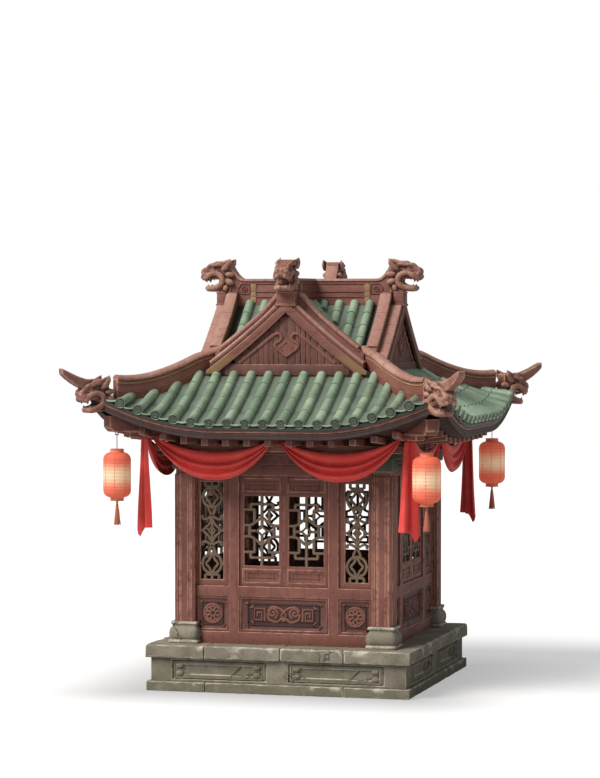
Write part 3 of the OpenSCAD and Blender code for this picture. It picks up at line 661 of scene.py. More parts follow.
def raised(tree, height, strength, distance):
    """A bump from a height."""
    return add(tree, "ShaderNodeBump", {"Height": height, "Strength": strength,
                                        "Distance": distance}).outputs[0]


def painted_timber(name, coat, faded, grime, bare, scale=1.0, low_end=None):
    """Old painted wood with grain, stains and bare edges, painted shade where the attribute hollow is set,
    and ochre below the heights low_end if given.
    """
    material, tree, surface = new_material(name)
    coat, faded, grime, bare = (srgb(*colour) for colour in (coat, faded, grime, bare))
    stained = group_in(tree, stains, {"Coat": coat, "Faded": faded, "Grime": grime, "Scale": scale,
                                      "Amount": 0.62})
    fibre = group_in(tree, grain, {"Fineness": 1.0})
    streaked = mix(tree, times(tree, fibre["Streaks"], 0.38), stained["Colour"], grime)
    worn = group_in(tree, edge_wear, {"Coat": streaked, "Bare": bare, "Amount": 0.85, "Scale": 9.0})
    # Painted shade: where the attribute hollow is set, the coat goes towards a very dark copy of the grime
    # colour.
    sunk = marked(tree, "hollow")
    deep = tuple(v * 0.35 for v in grime[:3]) + (1.0,)
    colour = mix(tree, times(tree, sunk, 0.85), worn["Colour"], deep)
    if low_end:
        here = spot_in(tree)
        height = add(tree, "ShaderNodeSeparateXYZ", {0: here}).outputs["Z"]
        above = plus(tree, times(tree, between(tree, height, *low_end), 0.7), 0.3)
        colour = mix(tree, above, srgb(136, 112, 66), colour)
    fed(tree, surface, {"Base Color": colour, "Roughness": plus(tree, times(tree, stained["Mask"], 0.3), 0.5),
                        "Normal": raised(tree, fibre["Height"], 0.55, 0.004)})
    return material


timber = painted_timber("red_brown_timber", (118, 70, 59), (142, 92, 77), (72, 42, 34), (196, 146, 124))
dark_timber = painted_timber("dark_timber", (96, 57, 49), (118, 75, 64), (54, 34, 28), (172, 124, 105))
# A dark copy of the timber, used as painted shade under the eaves and behind the carving.
painted_shade_timber = painted_timber("painted_shade_brown_timber", (54, 34, 30), (70, 46, 40), (34, 22, 19), (104, 72, 60))
barge_timber = painted_timber("barge_timber", (116, 70, 59), (140, 92, 77), (72, 42, 34), (190, 140, 120),
                              low_end=(4.37, 4.5))
green_timber = painted_timber("green_bracket_timber", (78, 88, 66), (104, 112, 86), (44, 48, 36),
                              (150, 152, 124))
lattice_timber = painted_timber("lattice_timber", (108, 88, 70), (130, 106, 86), (64, 52, 40),
                                (156, 130, 108), 2.0)
ridge_clay = painted_timber("ridge_brown", (122, 72, 62), (156, 104, 90), (76, 46, 40), (190, 142, 124), 1.4)
head_clay = painted_timber("dragon_brown", (130, 84, 70), (166, 120, 102), (78, 48, 40), (206, 164, 142), 1.6)
cap_clay = painted_timber("ridge_cap_pink", (158, 114, 100), (192, 152, 136), (104, 70, 60), (216, 180, 162),
                          1.2)
ochre = painted_timber("ochre_bands", (150, 118, 78), (176, 148, 104), (92, 68, 44), (200, 172, 128), 2.0)
print("painted finishes:", [m.name for m in bpy.data.materials])

# %% [markdown]
# The stone is a grey-green, fine-grained block stone: pale on its worn edges, dark and mossy low
# down, with small pits and hair cracks. A Voronoi pattern bent by noise gives the cracks.

# %% Stone
stone, tree, surface = new_material("grey_green_stone")
here = spot_in(tree)
stained = group_in(tree, stains, {"Coat": srgb(126, 118, 104), "Faded": srgb(150, 143, 128),
                                  "Grime": srgb(82, 76, 62), "Scale": 1.7, "Amount": 0.7})
mossy = group_in(tree, moss, {"Stone": stained["Colour"], "Green": srgb(96, 94, 66), "Amount": 0.5,
                              "Top": 0.75})
worn = group_in(tree, edge_wear, {"Coat": mossy["Colour"], "Bare": srgb(196, 188, 172), "Amount": 0.85,
                                  "Scale": 7.0})
push = add(tree, "ShaderNodeTexNoise", {"Vector": here, "Scale": 3.0}).outputs["Color"]
bent = add(tree, "ShaderNodeVectorMath", {0: here, 1: push}, operation="ADD").outputs[0]
cells = add(tree, "ShaderNodeTexVoronoi", {"Vector": bent, "Scale": 1.1},
            feature="DISTANCE_TO_EDGE").outputs["Distance"]
crack = minus(tree, 1.0, between(tree, cells, 0.0, 0.012))
some = between(tree, speckle(tree, here, 1.2, 2), 0.5, 0.6)
crack = times(tree, crack, some)
pits = speckle(tree, here, 42, 5, 0.7)
rough = minus(tree, plus(tree, pits, times(tree, speckle(tree, here, 7, 6, 0.6), 1.6)),
              times(tree, crack, 1.5))
fed(tree, surface, {"Base Color": mix(tree, times(tree, crack, 0.75), worn["Colour"], srgb(58, 56, 46)),
                    "Normal": raised(tree, rough, 0.7, 0.008), "Roughness": 0.86})
print("stone ready")

# %% [markdown]
# The tiles have a celadon glaze: a pale grey-green that pools darker in the sunk middles of the end
# tiles and thins to a lighter green at the lips. The pans are darker than the round tiles, as
# painted shade between the rows; the eave lips carry a painted highlight as well; and the darkest
# glaze paints the shade on the roof solids under the tiles. Each tile was fired by itself, so the
# attribute tint from the tile tree shifts its colour a little. Dust dulls the gloss in places.

# %% Glaze
def glazed(name, body, pale, deep, gloss):
    """A glazed clay finish whose colour changes from tile to tile."""
    material, tree, surface = new_material(name)
    body, pale, deep = (srgb(*colour) for colour in (body, pale, deep))
    tint = marked(tree, "tint")
    stained = group_in(tree, stains, {"Coat": body, "Faded": pale, "Grime": deep, "Scale": 2.4,
                                      "Amount": 0.65})
    shifted = mix(tree, between(tree, tint, 0.2, 1.0), stained["Colour"],
                  mix(tree, 0.3, stained["Colour"], pale))
    darker = mix(tree, times(tree, between(tree, tint, 0.35, 0.0), 0.2), shifted, deep)
    fed(tree, surface, {"Base Color": darker, "Roughness": plus(tree, times(tree, stained["Mask"], 0.45),
                                                                gloss),
                        "Normal": raised(tree, speckle(tree, spot_in(tree), 34, 4, 0.6), 0.35, 0.004),
                        "Coat Weight": 0.25, "Coat Roughness": 0.3})
    return material


tube_glaze = glazed("celadon_tube_glaze", (124, 147, 123), (168, 186, 160), (72, 88, 72), 0.16)
# Pans: darker than the round tiles, as painted shade between the rows.
pan_glaze_painted_shade = glazed("celadon_pan_glaze_painted_shade", (96, 109, 95), (118, 132, 114), (54, 62, 52), 0.3)
# Eave lips: lighter where the glaze thins, with a painted highlight.
lip_glaze_painted_highlight = glazed("celadon_lip_glaze_painted_highlight", (136, 156, 132), (172, 190, 164), (80, 94, 78), 0.18)
rim_glaze = glazed("celadon_rim_glaze", (104, 118, 98), (128, 142, 120), (60, 68, 54), 0.3)
# The darkest glaze: pooled in the end tiles' middles, and painted shade on the roof solids.
pooled_glaze_and_painted_shade = glazed("celadon_pooled_glaze_and_painted_shade", (38, 46, 36), (52, 62, 48), (22, 26, 20), 0.3)
print("glazes ready")

# %% [markdown]
# The drapes are a plain red cloth with a soft sheen: fine threads both ways give it a slight bump,
# and its own UV map carries them so that they follow the folds. The lantern paper glows from a lamp
# inside: warm white at the middle of its height and coral towards both ends. The paper's own colour
# carries the same glow as painted light, pale in the middle and coral at the ends.

# %% Cloth, paper and iron
red_cloth, tree, surface = new_material("red_cloth")
uv = add(tree, "ShaderNodeUVMap").outputs[0]
warp = add(tree, "ShaderNodeTexWave", {"Vector": uv, "Scale": 90.0, "Distortion": 0.4},
           bands_direction="X").outputs["Fac"]
weft = add(tree, "ShaderNodeTexWave", {"Vector": uv, "Scale": 90.0, "Distortion": 0.4},
           bands_direction="Y").outputs["Fac"]
threads = times(tree, warp, weft)
stained = group_in(tree, stains, {"Coat": srgb(220, 56, 50), "Faded": srgb(236, 96, 82),
                                  "Grime": srgb(136, 26, 28), "Scale": 1.6, "Amount": 0.5})
fed(tree, surface, {"Base Color": mix(tree, times(tree, threads, 0.12), stained["Colour"], srgb(150, 34, 34)),
                    "Roughness": plus(tree, times(tree, stained["Mask"], 0.2), 0.5),
                    "Normal": raised(tree, threads, 0.25, 0.002), "Sheen Weight": 0.15,
                    "Sheen Roughness": 0.5})

lit_paper, tree, surface = new_material("lit_lantern_paper")
height = marked(tree, "height")
here = spot_in(tree)
cloudy = times(tree, minus(tree, speckle(tree, here, 9, 4), 0.5), 0.35)
middle = between(tree, plus(tree, height, cloudy), 0.3, 1.0)
wire = marked(tree, "wire")
near_wire = times(tree, between(tree, wire, 0.35, 1.0), minus(tree, 0.75, times(tree, middle, 0.55)))
# The lamp's glow is painted into the paper's colour too: cream in the middle, coral at the ends.
paper_colour_with_painted_glow = mix(tree, near_wire, mix(tree, middle, srgb(204, 94, 70), srgb(214, 184, 150)),
                   srgb(176, 70, 50))
fibres = speckle(tree, here, 60, 5, 0.7)
fed(tree, surface, {"Base Color": paper_colour_with_painted_glow, "Emission Strength": 0.3,
                    "Emission Color": mix(tree, middle, srgb(236, 108, 76), srgb(250, 206, 160)),
                    "Roughness": plus(tree, times(tree, fibres, 0.2), 0.6),
                    "Normal": raised(tree, fibres, 0.3, 0.002)})

wire_coral = painted_timber("lantern_wire_coral", (214, 96, 70), (232, 130, 100), (150, 60, 44),
                            (236, 160, 130))
collar_lacquer = painted_timber("lantern_collar_coral", (226, 124, 92), (238, 152, 122), (160, 96, 74),
                                (190, 160, 130), 3.0)
tassel_thread = painted_timber("tassel_thread", (196, 116, 88), (218, 146, 116), (128, 70, 52),
                               (222, 160, 130), 5.0)
hanger_brown = painted_timber("hanger_brown", (118, 58, 46), (140, 80, 64), (70, 36, 30), (160, 110, 90), 4.0)

iron, tree, surface = new_material("black_iron")
here = spot_in(tree)
rust = speckle(tree, here, 60, 5, 0.65)
fed(tree, surface, {"Base Color": mix(tree, between(tree, rust, 0.5, 0.8), srgb(52, 46, 42),
                                      srgb(104, 66, 46)),
                    "Roughness": plus(tree, times(tree, rust, 0.3), 0.35),
                    "Normal": raised(tree, rust, 0.4, 0.002), "Metallic": 0.8})

WHITE = (1, 1, 1, 1)
PLINTH_REACH = 1.8
floor_finish, tree, surface = new_material("pale_floor")
here = spot_in(tree)
spot = add(tree, "ShaderNodeSeparateXYZ", {0: here}).outputs
out_x, out_y = (larger(tree, minus(tree, size_of(tree, spot[axis]), PLINTH_REACH), 0.0) for axis in (0, 1))
away_from_plinth = root(tree, plus(tree, power(tree, out_x, 2.0), power(tree, out_y, 2.0)))
# Painted shadow: the floor's colour darkens close to the plinth and fades out about two metres away.
painted_shadow_near_plinth = minus(tree, 1.0, between(tree, away_from_plinth, -0.5, 1.9))
shade = mix(tree, painted_shadow_near_plinth, (0.6, 0.6, 0.6, 1), (0.07, 0.07, 0.07, 1))
seen = add(tree, "ShaderNodeLightPath").outputs["Is Camera Ray"]
fed(tree, surface, {"Base Color": mix(tree, speckle(tree, here, 0.6, 3), shade,
                                      mix(tree, 0.05, shade, WHITE)),
                    "Roughness": 0.9, "Emission Color": WHITE, "Emission Strength": times(tree, seen, 0.42)})
floor.data.materials.append(floor_finish)
print("cloth, paper, iron and floor ready")

# %% [markdown]
# ## Timber solids
# Most timber pieces have their final shape in the solids already. They only need soft, worn edges,
# so they become bevelled copies. A rail's grain runs level and a post's runs upright, which the
# attribute level tells the grain.

# %% Wall frames, sashes, panels and columns
RAILS = ((0.6, 0.78), (1.243, 1.384), (2.85, 2.992))


def in_rail(centre):
    """True at the height of a rail."""
    return any(low < centre.z < high for low, high in RAILS)


for side in SIDES:
    for node, name, width in (("wall_frame", "wall_timbers", 0.009), ("window_sashes", "sash_frames", 0.006),
                              ("side_windows", "side_window_frames", 0.007)):
        made = bevelled_copy(f"{node}_{side}", f"{side}_{name}", timber, width)
        if node == "wall_frame":
            lie_level(made, in_rail)
        place(made, "red_brown_wood", f"{node}_{side}")

# %% Columns, their heads, panels and frieze
place(bevelled_copy("corner_columns", "corner_column_timbers", timber, 0.006, 20), "red_brown_wood",
      "corner_columns")
for node, name, width in (("dado_panels", "dado_panel_boards", 0.005),
                          ("frieze_boards", "frieze_timbers", 0.009)):
    made = bevelled_copy(node, name, dark_timber, width)
    lie_level(made, lambda c: True)
    place(made, "dark_wood", node)
HEAD_FOOT = 2.929
heads = bevelled_copy("column_heads", "column_head_blocks", green_timber, 0.016)
heads.data.materials.append(timber)
for face in heads.data.polygons:
    face.material_index = 1 if face.center.z < HEAD_FOOT else 0
place(heads, "green_painted_wood", "column_heads")

# %% Eave timbers
for node, name, width in (("purlins", "eave_purlin_timbers", 0.009),
                          ("rafters", "eave_rafter_timbers", 0.007),
                          ("corner_beams", "corner_beam_timbers", 0.014)):
    made = bevelled_copy(node, name, timber, width)
    lie_level(made, lambda c: True)
    place(made, "red_brown_wood", node)
# The eave boards and the lower fascia strips lie in the eave's shade, painted by their dark finish.
eaves = nodes["eave_boards"]
eaves.data.materials.clear()
eaves.data.materials.append(painted_shade_timber)
fascia_lines = [(line_of(lambda x: (x, -2.356, 3.374 + lift(x) + up), -2.335, 2.335, 44), False)
                for up in (0.016, 0.058)]
top_line = line_of(lambda x: (x, -2.361, 3.48 + lift(x)), -2.335, 2.335, 44)
place(bevelled("eave_edge_strips", repeated(swept(fascia_lines, bar_outline(0.01, 0.032))), painted_shade_timber,
               0.003),
      "dark_wood")
place(bevelled("eave_top_strips", repeated(swept([(top_line, False)], bar_outline(0.02, 0.046))), timber,
               0.004),
      "dark_wood")

# %% Gable timbers and ridges
for node, name, finish, width in (
        ("barge_boards", "barge_board_timbers", barge_timber, 0.006),
        ("gable_walls", "gable_wall_boards", dark_timber, 0.008),
        ("rake_ridges", "rake_ridge_bodies", ridge_clay, 0.012),
        ("main_ridges", "main_ridge_bodies", ridge_clay, 0.012),
        ("hip_ridges", "hip_ridge_bodies", ridge_clay, 0.012)):
    made = bevelled_copy(node, name, finish, width, 28)
    lie_level(made, lambda c: node != "gable_walls")
    place(made, "dark_wood" if "timber" in name or "boards" in name else "ridge_tile", node)
# The roof solids show only under and between the tiles; the darkest glaze paints the shade there.
for node in ("skirt_roof_front", "skirt_roof_right", "skirt_roof_back", "skirt_roof_left", "upper_roof"):
    nodes[node].data.materials.clear()
    nodes[node].data.materials.append(pooled_glaze_and_painted_shade)

# %% [markdown]
# ## Repeating a piece round the building
# A piece with attributes, such as the tint of each tile, is repeated by copying its mesh into one
# bmesh four times, turned by a quarter each time, which keeps the attributes.

# %% A piece on all four sides or corners
def all_round(piece, first=0.0):
    """Puts three more copies of a piece round the middle, and turns the first one by an angle."""
    work = bmesh.new()
    for k in range(4):
        copy = piece.data.copy()
        copy.transform(Matrix.Rotation(radians(90 * k) + first, 4, "Z"))
        work.from_mesh(copy)
        bpy.data.meshes.remove(copy)
    work.to_mesh(piece.data)
    work.free()
    return piece


# %% [markdown]
# ## Roof tiles
# Seventeen rows of half-round tiles run down each side of the skirt roof. Each tile has a raised
# collar at its lower end, and each row ends at the eave in a round tile with a raised spiral.
# Between the rows lie hollow pan tiles, overlapping downhill like scales. The tile tree puts them on
# edges that follow the roof's curve, always from the low end upwards.

# %% One tube tile, one end tile and one pan
def lathed(rings, n, cap_first=True):
    """A shape turned round the X axis from (x, radius) rings."""
    points, faces = [], []
    for x, r in rings:
        points += [(x, r * cos(tau * i / n), r * sin(tau * i / n)) for i in range(n)]
    for j in range(len(rings) - 1):
        for i in range(n):
            a, b = j * n + i, j * n + (i + 1) % n
            faces.append([a, a + n, b + n, b])
    if cap_first:
        faces.append(list(range(n)))
    faces.append([(len(rings) - 1) * n + i for i in reversed(range(n))])
    return points, faces


def tube_tile(radius, collar):
    """A round tile of unit length with a collar at its lower end."""
    return lathed([(-0.5, radius * 0.9), (-0.495, radius + collar), (-0.45, radius + collar), (-0.43, radius),
                   (0.46, radius * 0.98), (0.475, radius * 0.9), (0.5, radius * 0.88)], 16)


END_LENGTH = 0.05


def end_tile(radius):
    """The round end of a row: a thick rim and a raised spiral, drawn END_LENGTH long."""
    rim = lathed([(0.008, radius * 0.83), (-0.002, radius * 0.85), (-0.006, radius * 0.92),
                  (-0.002, radius * 0.98), (0.008, radius), (0.03, radius), (0.05, radius * 0.9)], 20, False)
    turn = [(0.003, radius * (0.08 + 0.6 * i / 28) * cos(0.5 * i),
             radius * (0.08 + 0.6 * i / 28) * sin(0.5 * i))
            for i in range(29)]
    p, f = joined([rim, swept([(turn, False)], rod_outline(0.004, 5))])
    return np.asarray(p) * [1 / END_LENGTH, 1, 1] - [0.5, 0, 0], f


def end_field(radius):
    """The sunk middle of an end tile, where the glaze has pooled dark."""
    p, f = lathed([(0.005, 0.001), (0.005, radius * 0.84), (0.012, radius * 0.88)], 20, False)
    return np.asarray(p) * [1 / END_LENGTH, 1, 1] - [0.5, 0, 0], f


def pan_tile(width, thick=0.012, rise=0.014, step=0.004):
    """A hollow pan of unit length whose lower end rests on the next pan down."""
    columns, points = 6, []
    for x, up in ((-0.5, step), (0.5, 0.0)):
        for low in (0, 1):
            for i in range(columns + 1):
                v = 2 * i / columns - 1
                points.append((x, v * width / 2, up + rise * v * v + (0.0 if low else thick)))
    n = columns + 1
    faces = []
    for i in range(columns):
        faces += [[i, 2 * n + i, 2 * n + i + 1, i + 1], [n + i, n + i + 1, 3 * n + i + 1, 3 * n + i],
                  [i, i + 1, n + i + 1, n + i], [2 * n + i, 3 * n + i, 3 * n + i + 1, 2 * n + i + 1]]
    faces += [[0, n, 3 * n, 2 * n], [columns, 2 * n + columns, 3 * n + columns, n + columns]]
    p = np.asarray(points)
    return p, [list(reversed(f)) for f in faces]


print("an end tile has", len(end_tile(0.068)[1]), "faces")

# %% Rows of the skirt roof
PITCH, TUBE, AXIS, DISC = 0.241, 0.063, 0.06, 0.071
tube_lines, end_lines, pan_lines, lip_lines = [], [], [], []


def on_roof(x, s, up):
    """A point over the front skirt roof."""
    return x, -s, skirt(x, s) + up


for i in range(-8, 9):
    x = i * PITCH
    stops = [2.39, 2.115, 1.805, 1.495, 1.25]
    top = max(GABLE, abs(x) + 0.02)
    line = [on_roof(x, s, AXIS) for s in stops if s > top + 0.06] + [on_roof(x, top, AXIS)]
    a, b = Vector(line[0]), Vector(line[1])
    outward = (a - b).normalized()
    end = a + outward * (END_LENGTH - 0.02)
    for k in range(4):
        tube_lines.append((turned(line, k), False))
        end_lines.append((turned([tuple(end), tuple(end - outward * END_LENGTH)], k), False))

for i in range(-9, 9):
    x = (i + 0.5) * PITCH
    top = max(GABLE, abs(x) - 0.03)
    count = max(1, round((2.395 - top) / 0.36))
    line = [on_roof(x, 2.4 + (top - 2.4) * j / count, 0.016) for j in range(count + 1)]
    for k in range(4):
        lip_lines.append((turned([on_roof(x, 2.408, 0.02), on_roof(x, 2.385, 0.02)], k), False))
        pan_lines.append((turned(line, k), False))
print(len(tube_lines), "skirt rows with", len(end_lines), "end tiles")

# %% Rows of the upper slopes
UPPER_TUBE = 0.06
upper_lines, upper_pans = [], []
for y in (0.845, 0.63, 0.415, 0.2):
    count = max(1, round((y - 0.07) / 0.19))
    line = [(y - 0.02 + (0.07 - y + 0.02) * j / count, -y) for j in range(count + 1)]
    pan_y = y - 0.1075
    for k in range(4):
        for m in (-1, 1):
            upper_lines.append((turned([(m * x, w, slope(x) + 0.056) for x, w in line], k), False))
            if pan_y > 0.15:
                steps = max(1, round((pan_y - 0.07) / 0.36))
                upper_pans.append((turned([(m * (pan_y + (0.07 - pan_y) * j / steps), -pan_y,
                                            slope(pan_y + (0.07 - pan_y) * j / steps) + 0.004)
                                           for j in range(steps + 1)], k), False))
print(len(upper_lines), "upper rows")

# %% Tile objects
place(copies_on("skirt_tube_tiles", tube_tile(TUBE, 0.006), tube_lines, tube_glaze, seed=3), "glazed_tile",
      "skirt_tile_rows")
place(copies_on("skirt_end_rims", end_tile(DISC), end_lines, rim_glaze, seed=5), "glazed_tile")
place(copies_on("skirt_end_fields", end_field(DISC), end_lines, pooled_glaze_and_painted_shade, seed=7), "glazed_tile")
place(copies_on("skirt_pan_tiles", pan_tile(0.15, 0.012, 0.014, 0.002), pan_lines, pan_glaze_painted_shade, seed=11),
      "glazed_tile")
place(copies_on("skirt_eave_pans", pan_tile(0.146, 0.018, 0.014, 0.002), lip_lines, lip_glaze_painted_highlight, seed=13),
      "glazed_tile")
place(copies_on("upper_tube_tiles", tube_tile(UPPER_TUBE, 0.006), upper_lines, tube_glaze, seed=17),
      "glazed_tile")
place(copies_on("upper_pan_tiles", pan_tile(0.134), upper_pans, pan_glaze_painted_shade, seed=19), "glazed_tile")

# %% [markdown]
# ## Window lattices
# The middle windows hold a fret of straight bars with an ogee above and below a small diamond; the
# narrow side windows hold rings, crossed curls and a long lozenge. They are flat timber bars that
# one can look between. Each half is drawn once in shares of its opening and mirrored.

# %% Lattice of a sash
LATTICE_Y = -1.3775


def lattice(name, lines, x0, x1, z0, z1):
    """Flat bars in all alike openings, from lines in shares of one opening, across and down."""
    lines = [([(x0 + (x1 - x0) * u, LATTICE_Y, z1 - (z1 - z0) * v) for u, v in line], closed)
             for line, closed in lines]
    bars = flattened(swept(lines, bar_outline(0.038, 0.034)), LATTICE_Y, 1.1)
    place(object_from(name, repeated(mirrored(bars)), lattice_timber, 30), "red_brown_wood")


def up_and_down(lines):
    """The lines of the upper half and their mirror images in the lower half."""
    return lines + [([(u, 1 - v) for u, v in line], closed) for line, closed in lines]


def oval(u, v, ru, rv, n):
    """Points round a circle or an ellipse."""
    return [(u + ru * cos(tau * i / n), v + rv * sin(tau * i / n)) for i in range(n)]


OGEE = [(0, 0.42), (0.12, 0.42), (0.24, 0.405), (0.37, 0.355), (0.5, 0.31), (0.63, 0.355), (0.76, 0.405),
        (0.88, 0.42), (1, 0.42)]
sash_fret = up_and_down([
    ([(0.5, 0), (0.5, 0.44)], False), ([(0.17, 0.115), (0.83, 0.115)], False),
    ([(0.18, 0.115), (0.18, 0.195)], False), ([(0.82, 0.115), (0.82, 0.195)], False),
    ([(0, 0.195), (0.31, 0.195)], False), ([(0.69, 0.195), (1, 0.195)], False),
    ([(0.29, 0.195), (0.29, 0.385)], False), ([(0.71, 0.195), (0.71, 0.385)], False),
    (smooth_line(OGEE, 4), False)])
sash_fret += [([(0.15, 0.42), (0.15, 0.58)], False), ([(0.85, 0.42), (0.85, 0.58)], False),
              ([(0.15, 0.5), (0.37, 0.5)], False), ([(0.63, 0.5), (0.85, 0.5)], False),
              ([(0.5, 0.435), (0.64, 0.5), (0.5, 0.565), (0.36, 0.5)], True)]
lattice("sash_lattices", sash_fret, 0.0684, 0.5436, 1.6554, 2.5786)

# %% Lattice of a side window
curls = up_and_down([
    ([(0.5, 0), (0.5, 0.06)], False), ([(0.2, 0.045), (0.8, 0.045)], False),
    ([(0.2, 0), (0.2, 0.045)], False), ([(0.8, 0), (0.8, 0.045)], False),
    (oval(0.5, 0.159, 0.42, 0.102, 20), True),
    (smooth_line([(0.5, 0.062), (0.62, 0.115), (0.76, 0.159), (0.62, 0.203), (0.5, 0.256), (0.38, 0.203),
                  (0.24, 0.159), (0.38, 0.115)], 3, True), True),
    ([(0, 0.159), (0.09, 0.159)], False), ([(0.91, 0.159), (1, 0.159)], False),
    (smooth_line([(0.34, 0.25), (0.36, 0.285), (0.5, 0.345), (0.78, 0.385), (0.93, 0.372), (0.9, 0.345)], 4),
     False),
    (smooth_line([(0.66, 0.25), (0.64, 0.285), (0.5, 0.345), (0.22, 0.385), (0.07, 0.372), (0.1, 0.345)], 4),
     False),
    ([(0.0, 0.372), (0.07, 0.372)], False), ([(0.93, 0.372), (1.0, 0.372)], False)])
curls += [(smooth_line([(0.5, 0.385), (0.64, 0.44), (0.88, 0.5), (0.64, 0.56), (0.5, 0.615), (0.36, 0.56),
                        (0.12, 0.5), (0.36, 0.44)], 4, True), True),
          ([(0.5, 0.345), (0.5, 0.655)], False), ([(0.0, 0.5), (0.12, 0.5)], False),
          ([(0.88, 0.5), (1, 0.5)], False),
          ([(0.5, 0.455), (0.64, 0.5), (0.5, 0.545), (0.36, 0.5)], True)]
lattice("side_window_lattices", curls, 0.835, 1.149, 1.464, 2.757)

# %% [markdown]
# ## Carving on the panels
# Shallow relief covers the panels under the windows: a round flower on the narrow ones, and two
# scrolls with frets at their ends on the wide one. The sash panels have a thin raised line with
# notched corners. Relief is a round rod pushed along a line and squeezed flat against its board.

# %% Carved panels
BOARD_FACES = {"dado": -1.402, "sash": -1.4, "frieze": -1.42}


def spiral(x, z, r, turns, start, way, n=20):
    """A spiral of x and z, from the middle out."""
    return [(x + way * r * (i / n) ** 0.8 * cos(start + tau * turns * i / n),
             z + r * (i / n) ** 0.8 * sin(start + tau * turns * i / n)) for i in range(n + 1)]


def notched(x0, x1, z0, z1, c):
    """A rectangle whose corners bow inwards."""
    line = []
    for x, z, a in ((x0, z0, 90), (x0, z1, 0), (x1, z1, -90), (x1, z0, 180)):
        for j in range(5):
            t = radians(a - 90 * j / 4)
            line.append((x + c * cos(t), z + c * sin(t)))
    return line


def in_front(lines, y):
    """Lines drawn in x and z, put on the front plane at y."""
    return [([(x, y, z) for x, z in line], closed) for line, closed in lines]


def relief(lines, radius, board):
    """Rods along lines on a board."""
    y = BOARD_FACES[board]
    return flattened(swept(in_front(lines, y), rod_outline(radius, 6)), y, 0.8)


side_flower = []
for cx in (-0.977, 0.977):
    side_flower.append((oval(cx, 1.01, 0.125, 0.125, 24), True))
    for i in range(8):
        a = tau * i / 8
        petal = [(0.03, 0.0), (0.06, 0.03), (0.095, 0.022), (0.105, 0.0), (0.095, -0.022), (0.06, -0.03)]
        side_flower.append(([(cx + r * cos(a) - t * sin(a), 1.01 + r * sin(a) + t * cos(a))
                             for r, t in petal], True))
    side_flower.append((notched(cx - 0.175, cx + 0.175, 0.835, 1.185, 0.03), True))
wide_scrolls = [(notched(-0.52, 0.52, 0.835, 1.185, 0.035), True),
                (notched(-0.46, 0.46, 0.875, 1.145, 0.05), True)]
for m in (-1, 1):
    wide_scrolls += [
        (spiral(m * 0.15, 1.035, 0.075, 1.6, 0.5, m), False),
        (smooth_line([(m * 0.225, 1.03), (m * 0.2, 0.95), (m * 0.1, 0.915), (m * 0.03, 0.96), (0, 0.93)], 5),
         False),
        (smooth_line([(m * 0.22, 1.06), (m * 0.16, 1.115), (m * 0.07, 1.1), (0, 1.06)], 5), False),
        ([(m * 0.26, 0.93), (m * 0.26, 1.09), (m * 0.4, 1.09), (m * 0.4, 0.94), (m * 0.3, 0.94),
          (m * 0.3, 1.04), (m * 0.36, 1.04), (m * 0.36, 0.985)], False)]
wide_scrolls.append(([(0, 0.955), (0.035, 1.0), (0, 1.05), (-0.035, 1.0)], True))
carving = joined([relief(side_flower, 0.015, "dado"), relief(wide_scrolls, 0.017, "dado")])
place(object_from("dado_carving", repeated(carving), timber, 60), "dark_wood")
# Dark grounds behind the carving: painted shade in its recesses.
recess = joined([box((-0.5, -1.4025, 0.855), (0.5, -1.398, 1.165)),
                 box((-1.13, -1.4025, 0.855), (-0.824, -1.398, 1.165)),
                 box((0.824, -1.4025, 0.855), (1.13, -1.398, 1.165))])
place(object_from("dado_carving_grounds", repeated(recess), painted_shade_timber, 30), "dark_wood")

# %% Raised lines of the sash panels and scrolls of the frieze
sash_lines = []
for m in (-1, 1):
    for low in (1.437, 2.602):
        sash_lines.append((notched(*sorted((m * 0.115, m * 0.497)), low + 0.04, low + 0.137, 0.018), True))
        sash_lines.append(([(m * 0.078, low + 0.012), (m * 0.534, low + 0.012), (m * 0.534, low + 0.165),
                            (m * 0.078, low + 0.165)], True))
frieze_lines = []
for n in range(-4, 5):
    cx = n * 0.235
    frieze_lines += [(spiral(cx - 0.05, 3.075, 0.036, 1.3, 0.4, 1, 14), False),
                     (spiral(cx + 0.05, 3.075, 0.036, 1.3, 0.4, -1, 14), False),
                     (smooth_line([(cx - 0.1, 3.04), (cx - 0.05, 3.025), (cx, 3.05), (cx + 0.05, 3.025),
                                   (cx + 0.1, 3.04)], 4), False)]
frieze_lines += [([(-1.18, 3.012), (1.18, 3.012)], False), ([(-1.18, 3.14), (1.18, 3.14)], False)]
small_carving = joined([relief(sash_lines, 0.0085, "sash"), relief(frieze_lines, 0.011, "frieze")])
place(object_from("sash_and_frieze_carving", repeated(small_carving), timber, 60), "dark_wood")

# %% [markdown]
# ## Ridges
# Every ridge is a plastered core with a pink cap laid in pieces on top and thin lines along its
# sides. The cores are solids already; the caps and lines are outlines pushed along the same
# curves. Small gaps between the cap's pieces are cut by making each piece its own short path.

# %% Caps in pieces
def in_pieces(line, count, gap=0.004):
    """Cuts a line into pieces with a small gap between neighbours."""
    p = np.array(line, float)
    steps = np.linalg.norm(np.diff(p, axis=0), axis=1)
    walked = np.concatenate([[0], np.cumsum(steps)])
    pieces = []
    for i in range(count):
        a, b = walked[-1] * i / count + gap / 2, walked[-1] * (i + 1) / count - gap / 2
        stops = [a] + [w for w in walked if a + 0.01 < w < b - 0.01] + [b]
        pieces.append(([tuple(np.interp(s, walked, p[:, j]) for j in range(3)) for s in stops], False))
    return pieces


def cap_outline(width, height):
    """A low rounded cap with a small foot on both sides."""
    w = width / 2
    return [(-w, 0.0), (w, 0.0), (w, height * 0.32)] + [
        (w * 0.94 * cos(pi * i / 8), height * 0.35 + height * 0.65 * sin(pi * i / 8))
        for i in range(9)] + [(-w, height * 0.32)]


